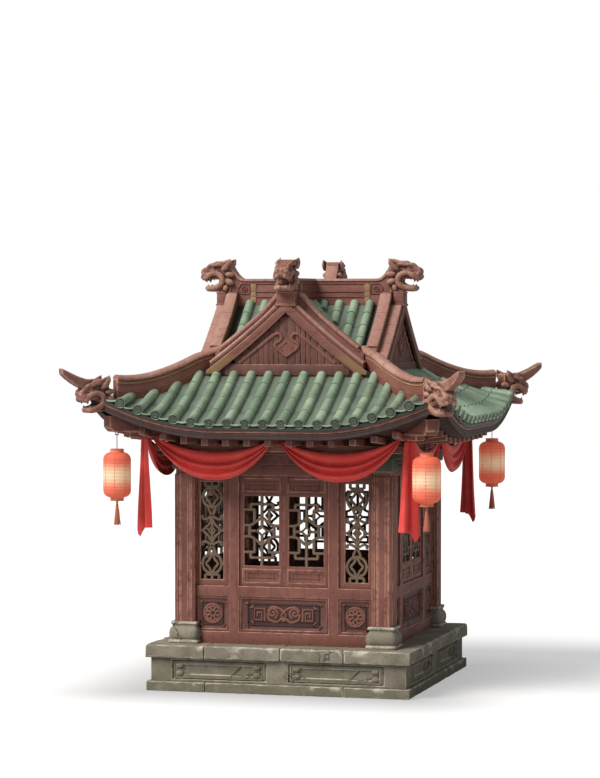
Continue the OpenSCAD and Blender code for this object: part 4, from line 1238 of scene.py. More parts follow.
def flat_outline(width, height):
    """A flat cap with rounded upper edges."""
    w, c = width / 2, height * 0.3
    return [(-w, 0), (w, 0), (w, height - c), (w - c * 0.3, height - c * 0.3), (w - c, height),
            (-w + c, height), (-w + c * 0.3, height - c * 0.3), (-w, height - c)]


def ridge_top(x):
    """Top of a main ridge's core, which sweeps up behind the heads."""
    v = max(0.0, abs(x) - 0.94) / 0.2
    return CREST + 0.29 + 0.19 * v * v


print("cap outline has", len(cap_outline(0.15, 0.05)), "points")

# %% Main ridges
ridge_lines = in_pieces(line_of(lambda x: (x, 0, ridge_top(x) - 0.012), -1.155, 1.155, 52), 8)
caps = swept(ridge_lines, flat_outline(0.172, 0.034))
mouldings = []
for z in (5.394, 5.285, 5.215):
    for y in (-0.072, 0.072):
        mouldings.append(([(-0.84, y, z), (0.84, y, z)], False))
side_lines = swept(mouldings, bar_outline(0.018, 0.014))
place(object_from("main_ridge_caps", repeated(caps, which=(0, 1)), cap_clay, 35), "ridge_tile")
place(object_from("main_ridge_lines", repeated(side_lines, which=(0, 1)), ridge_clay, 35), "ridge_tile")

bands, badges = [], []
for m in (-1, 1):
    for y in (-0.074, 0.074):
        for low, high in ((5.135, 5.21), (5.216, 5.285), (5.29, 5.395)):
            bands.append(box((m * 0.8015 - 0.034, y - 0.007, low), (m * 0.8015 + 0.034, y + 0.007, high)))
        badge = [(-0.085, 0.066), (0.03, 0.07), (0.078, 0.01), (0.075, -0.012), (0.03, -0.068),
                 (-0.085, -0.066)]
        badges.append(([(m * (0.94 + u), y, 5.322 + w) for u, w in badge], True))
        badges += in_front([(oval(m * 0.93, 5.322, r, r, n), True) for r, n in ((0.036, 14), (0.012, 8))], y)
place(bevelled("main_ridge_bands", repeated(joined(bands), which=(0, 1)), ochre, 0.004), "ridge_tile")
place(object_from("main_ridge_badges", repeated(swept(badges, rod_outline(0.0085, 6)), which=(0, 1)),
                  ridge_clay, 60),
      "ridge_tile")

# %% Ridges along the gables
def rake_top(x):
    """Top of the ridges along the gables, which gain height towards the crest."""
    return slope(x) + 0.18 + 0.12 * max(0.0, 1 - abs(x) / 0.45) ** 2


rake_caps, rake_steps, rake_rods = [], [], []
for m in (-1, 1):
    rake_caps += in_pieces(line_of(lambda x: (m * x, -1.082, rake_top(x) - 0.003), 0.15, 0.935, 14), 3)
    rake_steps += in_pieces(line_of(lambda x: (m * x, -1.222, slope(x) + 0.057), 0.136, 1.045, 14), 3)
    rake_rods.append((line_of(lambda x: (m * x, -1.152, rake_top(x) - 0.022), 0.15, 0.96, 14), False))
    rake_rods.append((line_of(lambda x: (m * x, -1.292, slope(x) + 0.036), 0.136, 1.045, 14), False))
place(object_from("rake_ridge_caps", repeated(swept(rake_caps, flat_outline(0.154, 0.036))), cap_clay, 35),
      "ridge_tile")
place(object_from("rake_ridge_steps", repeated(swept(rake_steps, flat_outline(0.152, 0.032))), cap_clay, 35),
      "ridge_tile")
place(object_from("rake_ridge_rods", repeated(swept(rake_rods, rod_outline(0.009, 8))), ridge_clay, 35),
      "ridge_tile")

# %% Plates and lines on the end blocks under the heads
block_trim = joined([box((-0.134, -1.322, 5.09), (0.134, -1.18, 5.122)),
                     box((-0.13, -1.318, 5.262), (0.13, -1.18, 5.284))])
place(bevelled("end_block_plates", repeated(block_trim), ridge_clay, 0.006), "ridge_tile")

# %% Ridges down the hips
def hip_core(t):
    """Top of a hip ridge at t, in the plane of its diagonal."""
    if t <= GABLE:
        low, high = slope(0.95) + 0.175, skirt(GABLE, GABLE) + 0.27
        return low + (high - low) * (t - 0.95) / (GABLE - 0.95)
    return skirt(t, t) + 0.27


hip_line = [(t * ACROSS, 0, hip_core(t)) for t in np.linspace(0.97, 2.1, 34)]
hip_caps = swept(in_pieces(hip_line, 5, 0.005), cap_outline(0.168, 0.062))
gold_lines, foot_lines = [], []
for y in (-0.067, 0.067):
    gold_lines.append(([(x, y, z - 0.042) for x, _, z in hip_line[4:]], False))
    foot_lines.append(([(x, y, z - 0.165) for x, _, z in hip_line[9:]], False))
place(object_from("hip_ridge_caps", repeated(hip_caps, cornered), cap_clay, 35), "ridge_tile")
place(object_from("hip_ridge_gold_lines", repeated(swept(gold_lines, bar_outline(0.014, 0.018)), cornered),
                  ochre, 35),
      "ridge_tile")
place(object_from("hip_ridge_foot_lines", repeated(swept(foot_lines, bar_outline(0.01, 0.012)), cornered),
                  ridge_clay, 35),
      "ridge_tile")

# %% [markdown]
# ## Gables
# Each gable is closed by upright planks behind the barge boards. A square rod runs beside each barge
# board, and both end over a pointed ornament with two curled shoulders. A beam crosses the foot.

# %% Planks
plank_edges = [-0.93, -0.83, -0.72, -0.61, -0.5, -0.39, -0.313, -0.243, -0.177, -0.107, 0.003, 0.116,
               0.19, 0.26, 0.33, 0.42, 0.52, 0.63, 0.73, 0.83, 0.93]
PLANK_FOOT, SHORTEST_TOP = 4.15, 4.26
plank_shapes = []
for a, b in zip(plank_edges, plank_edges[1:]):
    top = min(slope(a), slope(b)) - 0.1
    mid, half = (a + b) / 2, (b - a) / 2
    if top > SHORTEST_TOP:
        plank_shapes.append(box((mid - half + 0.005, -1.256 - 0.003 * (len(plank_shapes) % 3), PLANK_FOOT),
                                (mid + half - 0.005, -1.232, top)))
place(bevelled("gable_planks", repeated(joined(plank_shapes)), dark_timber, 0.004), "dark_wood")

# %% Rods, ornament and the line along the barge boards
def plate(outline, y, thick):
    """A flat board on the front plane from the corners of its outline."""
    n = len(outline)
    points = [(x, y, z) for x, z in outline] + [(x, y - thick, z) for x, z in outline]
    faces = [list(range(n)), [n + i for i in reversed(range(n))]]
    faces += [[i, n + i, n + (i + 1) % n, (i + 1) % n] for i in range(n)]
    return points, faces


rod_lines, ornament_lines, barge_lines = [], [], []
for m in (-1, 1):
    rod_lines.append(([(m * 0.16, 4.716), (m * 0.18, 4.706), (m * 0.35, 4.576), (m * 0.507, 4.453),
                       (m * 0.66, 4.333)], False))
    curl = smooth_line([(m * 0.166, 4.714), (m * 0.108, 4.728), (m * 0.066, 4.676), (m * 0.092, 4.628),
                        (m * 0.15, 4.594), (m * 0.157, 4.56), (m * 0.131, 4.519)], 4)
    ornament_lines.append((curl + [(0.0, 4.427)], False))
    barge_lines.append((line_of(lambda x: (m * x, -1.312, barge_foot(x) + 0.01), 0.012, 1.05, 16), False))
inner_lines = [([(-0.094, 4.537), (0, 4.458), (0.094, 4.537), (0, 4.622)], True)]
rods = flattened(swept(in_front(rod_lines, -1.256), bar_outline(0.046, 0.046)), -1.256, 0.8)
ornament = flattened(swept(in_front(ornament_lines, -1.262), rod_outline(0.024, 8)), -1.262, 0.9)
inner = flattened(swept(in_front(inner_lines, -1.266), rod_outline(0.012, 6)), -1.266, 0.9)
ground = plate([(0.0, 4.43), (0.125, 4.522), (0.15, 4.566), (0.088, 4.62), (0.0, 4.668), (-0.088, 4.62),
                (-0.15, 4.566), (-0.125, 4.522)], -1.25, 0.016)
ornament = joined([ornament, inner, ground])
barge_trim = swept(barge_lines, bar_outline(0.01, 0.02))
place(object_from("gable_rods_and_ornament", repeated(joined([rods, ornament])), timber, 50), "dark_wood")
place(object_from("barge_board_lines", repeated(barge_trim), timber, 35), "dark_wood")

# %% [markdown]
# ## Dragon heads
# The heads are modelled clay: swellings that flow into each other, with crisp creases only at the
# eyes, lips and mane. Each head is a heap of rounded lumps, fused by a voxel remesh and smoothed, the
# way a sculptor builds from balls of clay. The lumps are drawn for one side and mirrored. Eyes and
# teeth are added to the heap as small lumps.

# %% Lumps of clay
CLAY_VOXEL = 0.008
SMOOTHINGS, DEEPEST = 9, 0.0045


def lump(work, centre, radii, pitch=0.0, segments=14):
    """Adds a rounded lump, tipped by pitch about Y."""
    size = Matrix.Diagonal((*radii, 1))
    turn = Matrix.Rotation(radians(-pitch), 4, "Y")
    bmesh.ops.create_uvsphere(work, u_segments=segments, v_segments=segments // 2 + 2, radius=1,
                              matrix=Matrix.Translation(centre) @ turn @ size)


def tapered(work, points, radii, flat=1.0):
    """Adds a chain of lumps along a line, from thick to thin."""
    line = smooth_line(points, 4)
    for i, p in enumerate(line):
        r = float(np.interp(i / (len(line) - 1) * (len(radii) - 1), range(len(radii)), radii))
        lump(work, p, (r, r * flat, r), segments=10)


def fused(name, work, voxel, smoothing, material):
    """Fuses the lumps into one skin and smooths it."""
    rough = linked("rough", mesh_of(name, work))
    remesh = rough.modifiers.new("fuse", "REMESH")
    remesh.mode = "VOXEL"
    remesh.voxel_size = voxel
    soften = rough.modifiers.new("soften", "SMOOTH")
    soften.factor = 0.5
    soften.iterations = smoothing
    made = settled(rough)
    made.materials.clear()
    made.materials.append(material)
    made.shade_smooth()
    return linked(name, made)


def mark_hollows(piece):
    """Writes how proud or hollow each point lies as the attributes edge and hollow, from which the finish
    paints shade in the hollows.
    """
    mesh = piece.data
    n = len(mesh.vertices)
    shape, normal = np.zeros(n * 3), np.zeros(n * 3)
    mesh.vertices.foreach_get("co", shape)
    mesh.vertices.foreach_get("normal", normal)
    shape, normal = shape.reshape(-1, 3), normal.reshape(-1, 3)
    ends = np.zeros(len(mesh.edges) * 2, dtype=np.int64)
    mesh.edges.foreach_get("vertices", ends)
    a, b = ends[0::2], ends[1::2]
    count = np.maximum(np.bincount(ends, minlength=n), 1)[:, None]
    soft = shape
    for _ in range(SMOOTHINGS):
        total = np.zeros((n, 3))
        for axis in range(3):
            total[:, axis] = (np.bincount(a, soft[b, axis], n) + np.bincount(b, soft[a, axis], n))
        soft = total / count
    sunk = np.einsum("ij,ij->i", soft - shape, normal) / DEEPEST
    for label, values in (("edge", -0.6 * sunk), ("hollow", sunk)):
        layer = mesh.attributes.new(label, "FLOAT", "POINT")
        layer.data.foreach_set("value", np.clip(values, 0, 1))


print("clay tools ready")

# %% The dragon both kinds of ridge share
def skinned(work, rings):
    """Adds the faces between neighbouring rings of corners."""
    n = len(rings[0])
    for a, b in zip(rings, rings[1:]):
        for i in range(n):
            work.faces.new((a[i], a[(i + 1) % n], b[(i + 1) % n], b[i]))


def closed_ends(work, rings):
    """Closes both ends of a row of rings."""
    work.faces.new(list(reversed(rings[0])))
    work.faces.new(rings[-1])


def beam(work, stations, at=lambda u, v, w: (u, v, w)):
    """Adds a squared beam from (distance, low, high, half width) stations."""
    rings = [[work.verts.new(at(u, v, w))
              for v, w in ((-half, low), (half, low), (half, high), (-half, high))]
             for u, low, high, half in stations]
    skinned(work, rings)
    closed_ends(work, rings)


def dragon(work, x, z, tip):
    """Heaps up a head whose mouth has its corner at x and z, tipped forward by an angle."""
    c, s = cos(radians(tip)), sin(radians(tip))

    def at(u, v, w):
        return x + u * c + w * s, v, z - u * s + w * c

    def ball(u, v, w, radii, pitch=0.0):
        for side in ((-1, 1) if v else (1,)):
            lump(work, at(u, side * v, w), radii, pitch - tip, 16)

    def roll(points, radii, flat=1.0):
        for side in (-1, 1):
            tapered(work, [at(u, side * v, w) for u, v, w in points], radii, flat)

    def slab(stations):
        beam(work, stations, at)

    slab([(-0.175, -0.155, 0.245, 0.088), (-0.08, -0.155, 0.25, 0.088), (0.0, -0.155, 0.24, 0.084)])
    slab([(-0.135, 0.19, 0.262, 0.112), (-0.08, 0.192, 0.27, 0.118), (0.03, 0.196, 0.268, 0.116),
          (0.105, 0.188, 0.232, 0.104), (0.165, 0.16, 0.198, 0.086)])
    slab([(-0.02, 0.022, 0.22, 0.088), (0.09, 0.018, 0.22, 0.086), (0.17, 0.03, 0.19, 0.092),
          (0.215, 0.03, 0.178, 0.096), (0.246, 0.048, 0.156, 0.084)])
    slab([(-0.06, -0.15, -0.05, 0.098), (0.04, -0.146, -0.056, 0.11), (0.11, -0.15, -0.062, 0.112),
          (0.16, -0.144, -0.072, 0.098), (0.184, -0.118, -0.08, 0.07)])
    ball(0.205, 0, 0.084, (0.056, 0.118, 0.062), -6)
    ball(0.226, 0.058, 0.116, (0.036, 0.042, 0.036), -12)
    ball(0.246, 0.046, 0.144, (0.018, 0.018, 0.012), -12)
    ball(0.244, 0, 0.128, (0.02, 0.03, 0.026))
    ball(0.16, 0.074, 0.076, (0.06, 0.048, 0.05), -4)
    roll([(0.236, 0.05, 0.052), (0.19, 0.092, 0.036), (0.135, 0.104, 0.074), (0.08, 0.106, 0.098),
          (0.01, 0.112, 0.094), (-0.04, 0.116, 0.06), (-0.06, 0.116, 0.01), (-0.046, 0.114, -0.042),
          (0.006, 0.112, -0.082), (0.08, 0.108, -0.102), (0.14, 0.092, -0.108), (0.172, 0.048, -0.1)],
         [0.034, 0.038, 0.04, 0.036, 0.038, 0.042, 0.043, 0.043, 0.042, 0.042, 0.04, 0.034], 0.85)
    roll([(-0.09, 0.098, 0.205), (-0.02, 0.108, 0.226), (0.05, 0.106, 0.212), (0.11, 0.096, 0.22),
          (0.16, 0.076, 0.196)],
         [0.022, 0.026, 0.024, 0.024, 0.016])
    roll([(0.13, 0.084, 0.142), (0.08, 0.094, 0.132), (0.02, 0.098, 0.14)], [0.014, 0.018, 0.012])
    ball(0.084, 0.084, 0.166, (0.034, 0.022, 0.019), -4)
    roll([(-0.05, 0.104, 0.232), (-0.11, 0.116, 0.262), (-0.186, 0.128, 0.3)], [0.022, 0.022, 0.006], 0.8)
    roll([(-0.058, 0.112, 0.16), (-0.11, 0.132, 0.184), (-0.156, 0.136, 0.236), (-0.186, 0.13, 0.298)],
         [0.02, 0.04, 0.034, 0.006], 0.55)
    ball(-0.162, 0.1, 0.086, (0.068, 0.04, 0.04), 4)
    ball(-0.158, 0.102, -0.018, (0.07, 0.042, 0.046), 24)
    ball(-0.104, 0.098, -0.098, (0.04, 0.04, 0.048), 18)
    for u, w, r, h in ((0.168, 0.006, 0.016, 0.034), (0.12, 0.016, 0.01, 0.02), (0.15, -0.062, 0.012, 0.022)):
        for side in (-1, 1):
            lump(work, at(u, side * 0.092, w), (r, r, h), segments=8)


# %% The heads at the main ridges' ends
clay = bmesh.new()
dragon(clay, 1.294, 5.435, 0)
ridge_head = fused("main_ridge_dragons", clay, CLAY_VOXEL, 3, head_clay)
mark_hollows(ridge_head)
all_round(ridge_head)
place(ridge_head, "ridge_tile", "ridge_dragons")

# %% The heads at the hips' feet, under their horns
clay = bmesh.new()
dragon(clay, 3.25, 3.862, 9)
beam(clay, [(3.1, 3.98, 4.12, 0.076), (3.216, 3.985, 4.142, 0.076), (3.33, 3.985, 4.136, 0.074),
            (3.43, 4.0, 4.143, 0.07), (3.52, 4.035, 4.172, 0.066), (3.61, 4.085, 4.212, 0.062),
            (3.7, 4.15, 4.254, 0.058), (3.765, 4.21, 4.284, 0.055)])
hip_head = fused("hip_dragon_heads", clay, CLAY_VOXEL, 3, head_clay)
mark_hollows(hip_head)
all_round(hip_head, radians(-45))
place(hip_head, "ridge_tile", "hip_dragons")

# %% [markdown]
# ## Stone plinth
# The plinth is laid from separate stones: a course on the ground, upright slabs with sunken panels
# and a projecting cap. Their edges are rounded and chipped. A stone is a box of small squares whose
# corners are pulled in to a radius; the radius grows where noise says the edge is chipped. At the
# plinth's corners neighbouring stones meet in a mitre.

# %% One weathered stone
def stops_between(low, high, rounding, step):
    """Grid lines along one edge of a stone, closer together near both ends."""
    near = [rounding * u for u in (0, 0.25, 0.55, 1.0)]
    inner = max(1, round((high - low - 2 * rounding) / step))
    middle = np.linspace(low + rounding, high - rounding, inner + 1)[1:-1]
    return [low + n for n in near] + list(middle) + [high - n for n in reversed(near)]


def weathered(work, low, high, rounding, seed, chips, mitre):
    """Adds one stone with rounded, chipped edges to a mesh under construction."""
    low, high = np.array(low), np.array(high)
    axes = [stops_between(low[i], high[i], rounding, 0.045) for i in range(3)]
    made = {}

    def corner(p):
        key = tuple(np.round(p, 5))
        if key not in made:
            at = Vector(p) * 4.0 + Vector((seed, 0, 0))
            chip = max(0.0, noise.noise(at) - 0.12) + 0.5 * max(0.0, noise.noise(at * 2.7) - 0.2)
            r = rounding * (0.55 + chips * 2.4 * chip * (1.0 if p[2] > (low[2] + high[2]) / 2 else 0.6))
            r = min(r, 0.4 * float(np.min(high - low)))
            core = np.clip(p, low + r, high - r)
            away = np.array(p) - core
            far = np.linalg.norm(away)
            q = core + away / far * r if far > 0 else np.array(p)
            hollow = 0.0035 * noise.noise(Vector(p) * 9.0 + Vector((0, seed, 0)))
            q = q + (away / far if far > 0 else 0) * (hollow - 0.002)
            if mitre[0]:
                q[0] = max(q[0], q[1] + 0.0008)
            if mitre[1]:
                q[0] = min(q[0], -q[1] - 0.0008)
            vert = work.verts.new(q)
            rounded_ways = np.count_nonzero(np.abs(away) > 0.18 * r)
            vert[work.verts.layers.float["edge"]] = min(1.0, max(0.0, rounded_ways - 1.0) * 0.9)
            made[key] = vert
        return made[key]

    for axis in range(3):
        a, b = (axis + 1) % 3, (axis + 2) % 3
        for end in (0, 1):
            fixed = axes[axis][-end]
            for i in range(len(axes[a]) - 1):
                for j in range(len(axes[b]) - 1):
                    ring = [(i, j), (i + 1, j), (i + 1, j + 1), (i, j + 1)]
                    points = []
                    for u, v in (ring if end else reversed(ring)):
                        p = [0.0, 0.0, 0.0]
                        p[axis], p[a], p[b] = fixed, axes[a][u], axes[b][v]
                        points.append(corner(tuple(p)))
                    work.faces.new(points)


def stonework():
    """An empty mesh for stones, with the worn-edge attribute."""
    work = bmesh.new()
    work.verts.layers.float.new("edge")
    return work


def laid(name, work, material=None):
    """Turns finished stones, or another bmesh, into an object with soft shading."""
    mesh = mesh_of(name, work)
    mesh.materials.append(material or stone)
    mesh.shade_smooth()
    return linked(name, mesh)


print("stone tools ready")

# %% Cap stones and ground course
def course(name, half, low, high, joints, depth, rounding, seed, chips, node):
    """A ring of stones on all four sides, mitred at the corners, round a plain slab."""
    ring = stonework()
    edges = [-half] + joints + [half]
    for i, (a, b) in enumerate(zip(edges, edges[1:])):
        first, last = i == 0, i == len(edges) - 2
        weathered(ring, (a + (0 if first else 0.003), -half, low),
                  (b - (0 if last else 0.003), -half + depth, high),
                  rounding, seed + i * 3.7, chips=chips, mitre=(first, last))
    piece = laid(name, ring)
    all_round(piece)
    work = bmesh.new()
    work.from_mesh(piece.data)
    inner = half - depth + 0.04
    bmesh.ops.create_cube(work, size=1, matrix=Matrix.Translation((0, 0, (low + high) / 2)) @ Matrix.Diagonal(
        (2 * inner, 2 * inner, high - low - 0.004, 1)))
    work.to_mesh(piece.data)
    work.free()
    return place(piece, "stone", node)


course("cap_stones", 1.8, 0.44, 0.617, [-0.987, 0.048, 0.905], 0.52, 0.034, 11.0, 0.9, "plinth_cap")
course("ground_stones", 1.789, 0.001, 0.132, [-0.975, 0.907], 0.4, 0.02, 47.0, 1.2, "plinth_base_course")

# %% Slabs with sunken panels
dado = bevelled_copy("plinth_dado", "dado_slabs", stone, 0.006)
place(dado, "stone", "plinth_dado")
PANELS = ((-1.468, -0.157), (0.132, 1.448))
PANEL_GROUND = -1.7215
frames, bosses, scrolls = [], stonework(), []
for left, right in PANELS:
    a, b, y = left + 0.058, right - 0.054, PANEL_GROUND
    outer = [(a, y, 0.181), (b, y, 0.181), (b, y, 0.392), (a, y, 0.392)]
    frames.append((outer, True))
    for m, x in ((1, a + 0.07), (-1, b - 0.07)):
        for z in (0.34, 0.236):
            lump(bosses, (x, y + 0.006, z), (0.056, 0.026, 0.041), segments=20)
        curl = [(-0.06, 0.285), (0.02, 0.287), (0.075, 0.262), (0.11, 0.225), (0.17, 0.192)]
        scrolls.append((smooth_line([(x + m * u, y, z) for u, z in curl], 4), False))
    x = b - 0.07
    scrolls.append((smooth_line([(x - 0.1, y, 0.275), (x - 0.17, y, 0.232), (x - 0.25, y, 0.238),
                                 (x - 0.3, y, 0.262)], 4), False))
    scrolls.append((smooth_line([(x - 0.21, y, 0.372), (x - 0.29, y, 0.3), (x - 0.37, y, 0.2)], 3), False))
trim = joined([swept(frames, bar_outline(0.016, 0.018)), swept(scrolls, rod_outline(0.007, 6))])
place(object_from("dado_panel_frames", repeated(trim), stone, 40), "stone")
boss_piece = laid("dado_bosses", bosses)
all_round(boss_piece)
place(boss_piece, "stone")

# %% Stone bases under the columns
COLUMN_OUT = 1.348
WORN_HEIGHTS = (0.622, 0.656, 0.872, 0.897)
BASE_RINGS = [(0.617, 0.196, 0.01), (0.622, 0.203, 0.012), (0.656, 0.203, 0.012), (0.661, 0.196, 0.014),
              (0.664, 0.186, 0.04), (0.674, 0.196, 0.06), (0.694, 0.208, 0.075), (0.73, 0.212, 0.08),
              (0.77, 0.209, 0.078), (0.8, 0.199, 0.07), (0.822, 0.182, 0.05), (0.833, 0.166, 0.03),
              (0.842, 0.163, 0.014), (0.858, 0.166, 0.012), (0.866, 0.174, 0.01), (0.872, 0.178, 0.01),
              (0.897, 0.178, 0.01), (0.903, 0.172, 0.012)]


def rounded_square(half, radius):
    """Points round a square with rounded corners."""
    points = []
    for k in range(4):
        for i in range(7):
            a = radians(90 * k + 90 * i / 6)
            cx, cy = (half - radius) * (1, -1, -1, 1)[k], (half - radius) * (1, 1, -1, -1)[k]
            points.append((cx + radius * cos(a), cy + radius * sin(a)))
        nx, ny = (half - radius) * (-1, -1, 1, 1)[k], (half - radius) * (1, -1, -1, 1)[k]
        end, a = np.array(points[-1]), radians(90 * (k + 1))
        start = np.array((nx + radius * cos(a), ny + radius * sin(a)))
        points += [tuple(end + (start - end) * i / 5) for i in range(1, 5)]
    return points


bases = stonework()
edge_mark = bases.verts.layers.float["edge"]
for _, sx, sy in CORNERS:
    rings = []
    for z, half, radius in BASE_RINGS:
        ring = []
        for x, y in rounded_square(half, radius):
            p = Vector((sx * COLUMN_OUT + x, sy * COLUMN_OUT + y, z))
            d = 0.004 * noise.noise(p * 14) + 0.005 * min(0.0, noise.noise(p * 6) + 0.15)
            v = bases.verts.new((p.x + d * x / half, p.y + d * y / half, z))
            v[edge_mark] = 1.0 if z in WORN_HEIGHTS else 0.0
            ring.append(v)
        rings.append(ring)
    skinned(bases, rings)
    closed_ends(bases, rings)
place(laid("column_base_stones", bases), "stone", "column_bases")

# %% [markdown]
# ## Lanterns
# A lantern's paper is stretched over wire rings and bulges a little between them, over eight upright
# wires. Its closed ends are domes with a lacquered collar. Below hangs a tassel of loose threads.
# Each lantern is made for its own body from one shared drawing.

# %% Shade, wires, collars and tassel
LANTERN_OUT = 2.085
SHADE_R, COLLAR_R = 0.184, 0.09
SHADE_TOP, SHADE_FOOT, DOME = 3.168, 2.58, 0.09
TRIM_TOP, TASSEL_FOOT = 3.215, 2.211


def ring_stops():
    """Radius and height of the paper from the foot to the top, bulging between its wires."""
    stops = []
    for i in range(5):
        a = radians(90 * i / 4)
        stops.append((COLLAR_R - 0.004 + (SHADE_R - COLLAR_R) * sin(a), SHADE_FOOT + DOME * (1 - cos(a))))
    height = SHADE_TOP - SHADE_FOOT - 2 * DOME
    straight = [(SHADE_R - 0.004, SHADE_FOOT + DOME + height * i / 9) for i in range(1, 9)]
    top = [(r, SHADE_FOOT + SHADE_TOP - z) for r, z in reversed(stops)]
    return stops + straight + top


wires = ring_stops()
outside = []
for (r0, z0), (r1, z1) in zip(wires, wires[1:]):
    length = hypot(r1 - r0, z1 - z0)
    nx, nz = (z1 - z0) / length, -(r1 - r0) / length
    for u in (0.0, 0.25, 0.5, 0.75):
        bulge = 0.0048 * sin(pi * u)
        outside.append((r0 + (r1 - r0) * u + nx * bulge, z0 + (z1 - z0) * u + nz * bulge,
                        1.0 if u == 0.0 else 0.0))
outside.append((*wires[-1], 1.0))


def shade_piece(name, cx, cy):
    """The paper shade: an outer and an inner skin closed at both ends."""
    work = bmesh.new()
    tall = work.verts.layers.float.new("height")
    near_wire = work.verts.layers.float.new("wire")
    n, mid = 48, (SHADE_TOP + SHADE_FOOT) / 2
    profile = outside + [(r - 0.004, min(max(z, SHADE_FOOT + 0.002), SHADE_TOP - 0.002), w)
                         for r, z, w in reversed(outside)]
    rings = []
    for r, z, w in profile:
        ring = []
        for i in range(n):
            flat = 1 - 0.012 * (1 - abs(cos(4 * pi * i / n + 0.4)))
            a = tau * i / n
            v = work.verts.new((cx + r * flat * cos(a), cy + r * flat * sin(a), z))
            v[tall] = 1 - abs(z - mid) / (mid - SHADE_FOOT)
            v[near_wire] = w
            ring.append(v)
        rings.append(ring)
    skinned(work, rings + rings[:1])
    return laid(name, work, lit_paper)


def turned_ring(work, cx, cy, profile):
    """A closed ring turned round a lantern's axis from (radius, height) points."""
    rings = [[work.verts.new((x, y, z)) for x, y in oval(cx, cy, r, r, 40)] for r, z in profile]
    skinned(work, rings + rings[:1])


def lantern(corner, sx, sy):
    """Makes the pieces of one lantern and lets them ride on its own body."""
    cx, cy, body = sx * LANTERN_OUT, sy * LANTERN_OUT, f"lantern_{corner}"
    place(shade_piece(f"lantern_paper_{corner}", cx, cy), "paper", f"lantern_shade_{corner}", body=body)
    uprights = []
    for i in range(8):
        a = tau * i / 8 + 0.15
        line = [(cx + (r + 0.0035) * cos(a), cy + (r + 0.0035) * sin(a), z) for r, z in wires]
        uprights.append((line, False))
    place(object_from(f"lantern_wires_{corner}", swept(uprights, rod_outline(0.0022, 5)), wire_coral, 60),
          "lantern_trim",
          body=body)
    work = bmesh.new()
    for low, high in ((SHADE_FOOT - 0.047, SHADE_FOOT), (SHADE_TOP, TRIM_TOP)):
        mid = (low + high) / 2
        turned_ring(work, cx, cy, [
            (0.092, low), (0.092, low + 0.008), (0.088, low + 0.012), (0.087, mid), (0.088, high - 0.012),
            (0.092, high - 0.008), (0.092, high), (0.078, high), (0.076, mid), (0.078, low)])
    for z in (SHADE_FOOT - 0.024, SHADE_TOP + 0.022):
        bmesh.ops.create_cone(work, cap_ends=True, segments=32, radius1=0.078, radius2=0.078, depth=0.006,
                              matrix=Matrix.Translation((cx, cy, z)))
    collars = laid(f"lantern_collars_{corner}", work, collar_lacquer)
    collars.data.set_sharp_from_angle(angle=radians(40))
    place(collars, "lantern_trim", f"lantern_fittings_{corner}", body=body)
    hanger = swept([([(cx, cy, TRIM_TOP - 0.03), (cx, cy, 3.385)], False)], rod_outline(0.0052, 12))
    outward = Vector((sx, sy, 0)).normalized()
    eye = [(cx + 0.0125 * cos(a) * -outward.y, cy + 0.0125 * cos(a) * outward.x, 3.3925 + 0.0125 * sin(a))
           for a in np.linspace(0, tau, 20, endpoint=False)]
    hanger = joined([hanger, swept([(eye, True)], rod_outline(0.0035, 8))])
    place(object_from(f"lantern_hanger_{corner}", hanger, hanger_brown, 60), "iron", body=body)
    chance = random.Random(int(100 * (sx * 3 + sy)))
    threads = []
    for i in range(46):
        a = tau * i * 0.382
        out = sqrt((i + 0.5) / 46)
        foot = TASSEL_FOOT + chance.uniform(0.0, 0.034) * (1 if i % 5 else 0.2)
        spread = 0.046 * out * chance.uniform(0.85, 1.05)
        line = [(cx + 0.009 * out * cos(a), cy + 0.009 * out * sin(a), SHADE_FOOT - 0.075)]
        for u in (0.12, 0.35, 0.65, 1.0):
            w = 0.012 * out + (spread - 0.012 * out) * u ** 0.9 + 0.002 * sin(9 * u + i)
            z = SHADE_FOOT - 0.09 + (foot - SHADE_FOOT + 0.09) * u
            line.append((cx + w * cos(a + 0.15 * u), cy + w * sin(a + 0.15 * u), z))
        threads.append((line, False))
    work = bmesh.new()
    for drop, wide, tall in ((0.058, 0.017, 0.014), (0.08, 0.013, 0.016)):
        lump(work, (cx, cy, SHADE_FOOT - drop), (wide, wide, tall), segments=16)
    bmesh.ops.create_cone(work, cap_ends=True, segments=12, radius1=0.006, radius2=0.006, depth=0.03,
                          matrix=Matrix.Translation((cx, cy, SHADE_FOOT - 0.036)))
    knot = laid(f"lantern_knot_{corner}", work, tassel_thread)
    place(knot, "lantern_trim", body=body)
    place(object_from(f"lantern_tassel_{corner}", swept(threads, rod_outline(0.0042, 5)), tassel_thread, 60),
          "lantern_trim",
          body=body)


for corner, sx, sy in CORNERS:
    lantern(corner, sx, sy)
hooks = bevelled_copy("lantern_hooks", "lantern_hook_irons", iron, 0.0015)
place(hooks, "iron", "lantern_hooks")

# %% [markdown]
# ## Cloth drapes
# Two swags hang along each side and a gathered tail hangs at each corner. Folds run along a swag from
# end to end: smooth faces, then a sharp turn into shadow. The cloth is drawn as a grid that follows
# its upper and lower edge, with the folds pushed in and out across it, and then gets its thickness.

# %% Cloth from a grid
CLOTH_THICKNESS = 0.005
HANG_TOP = 3.352


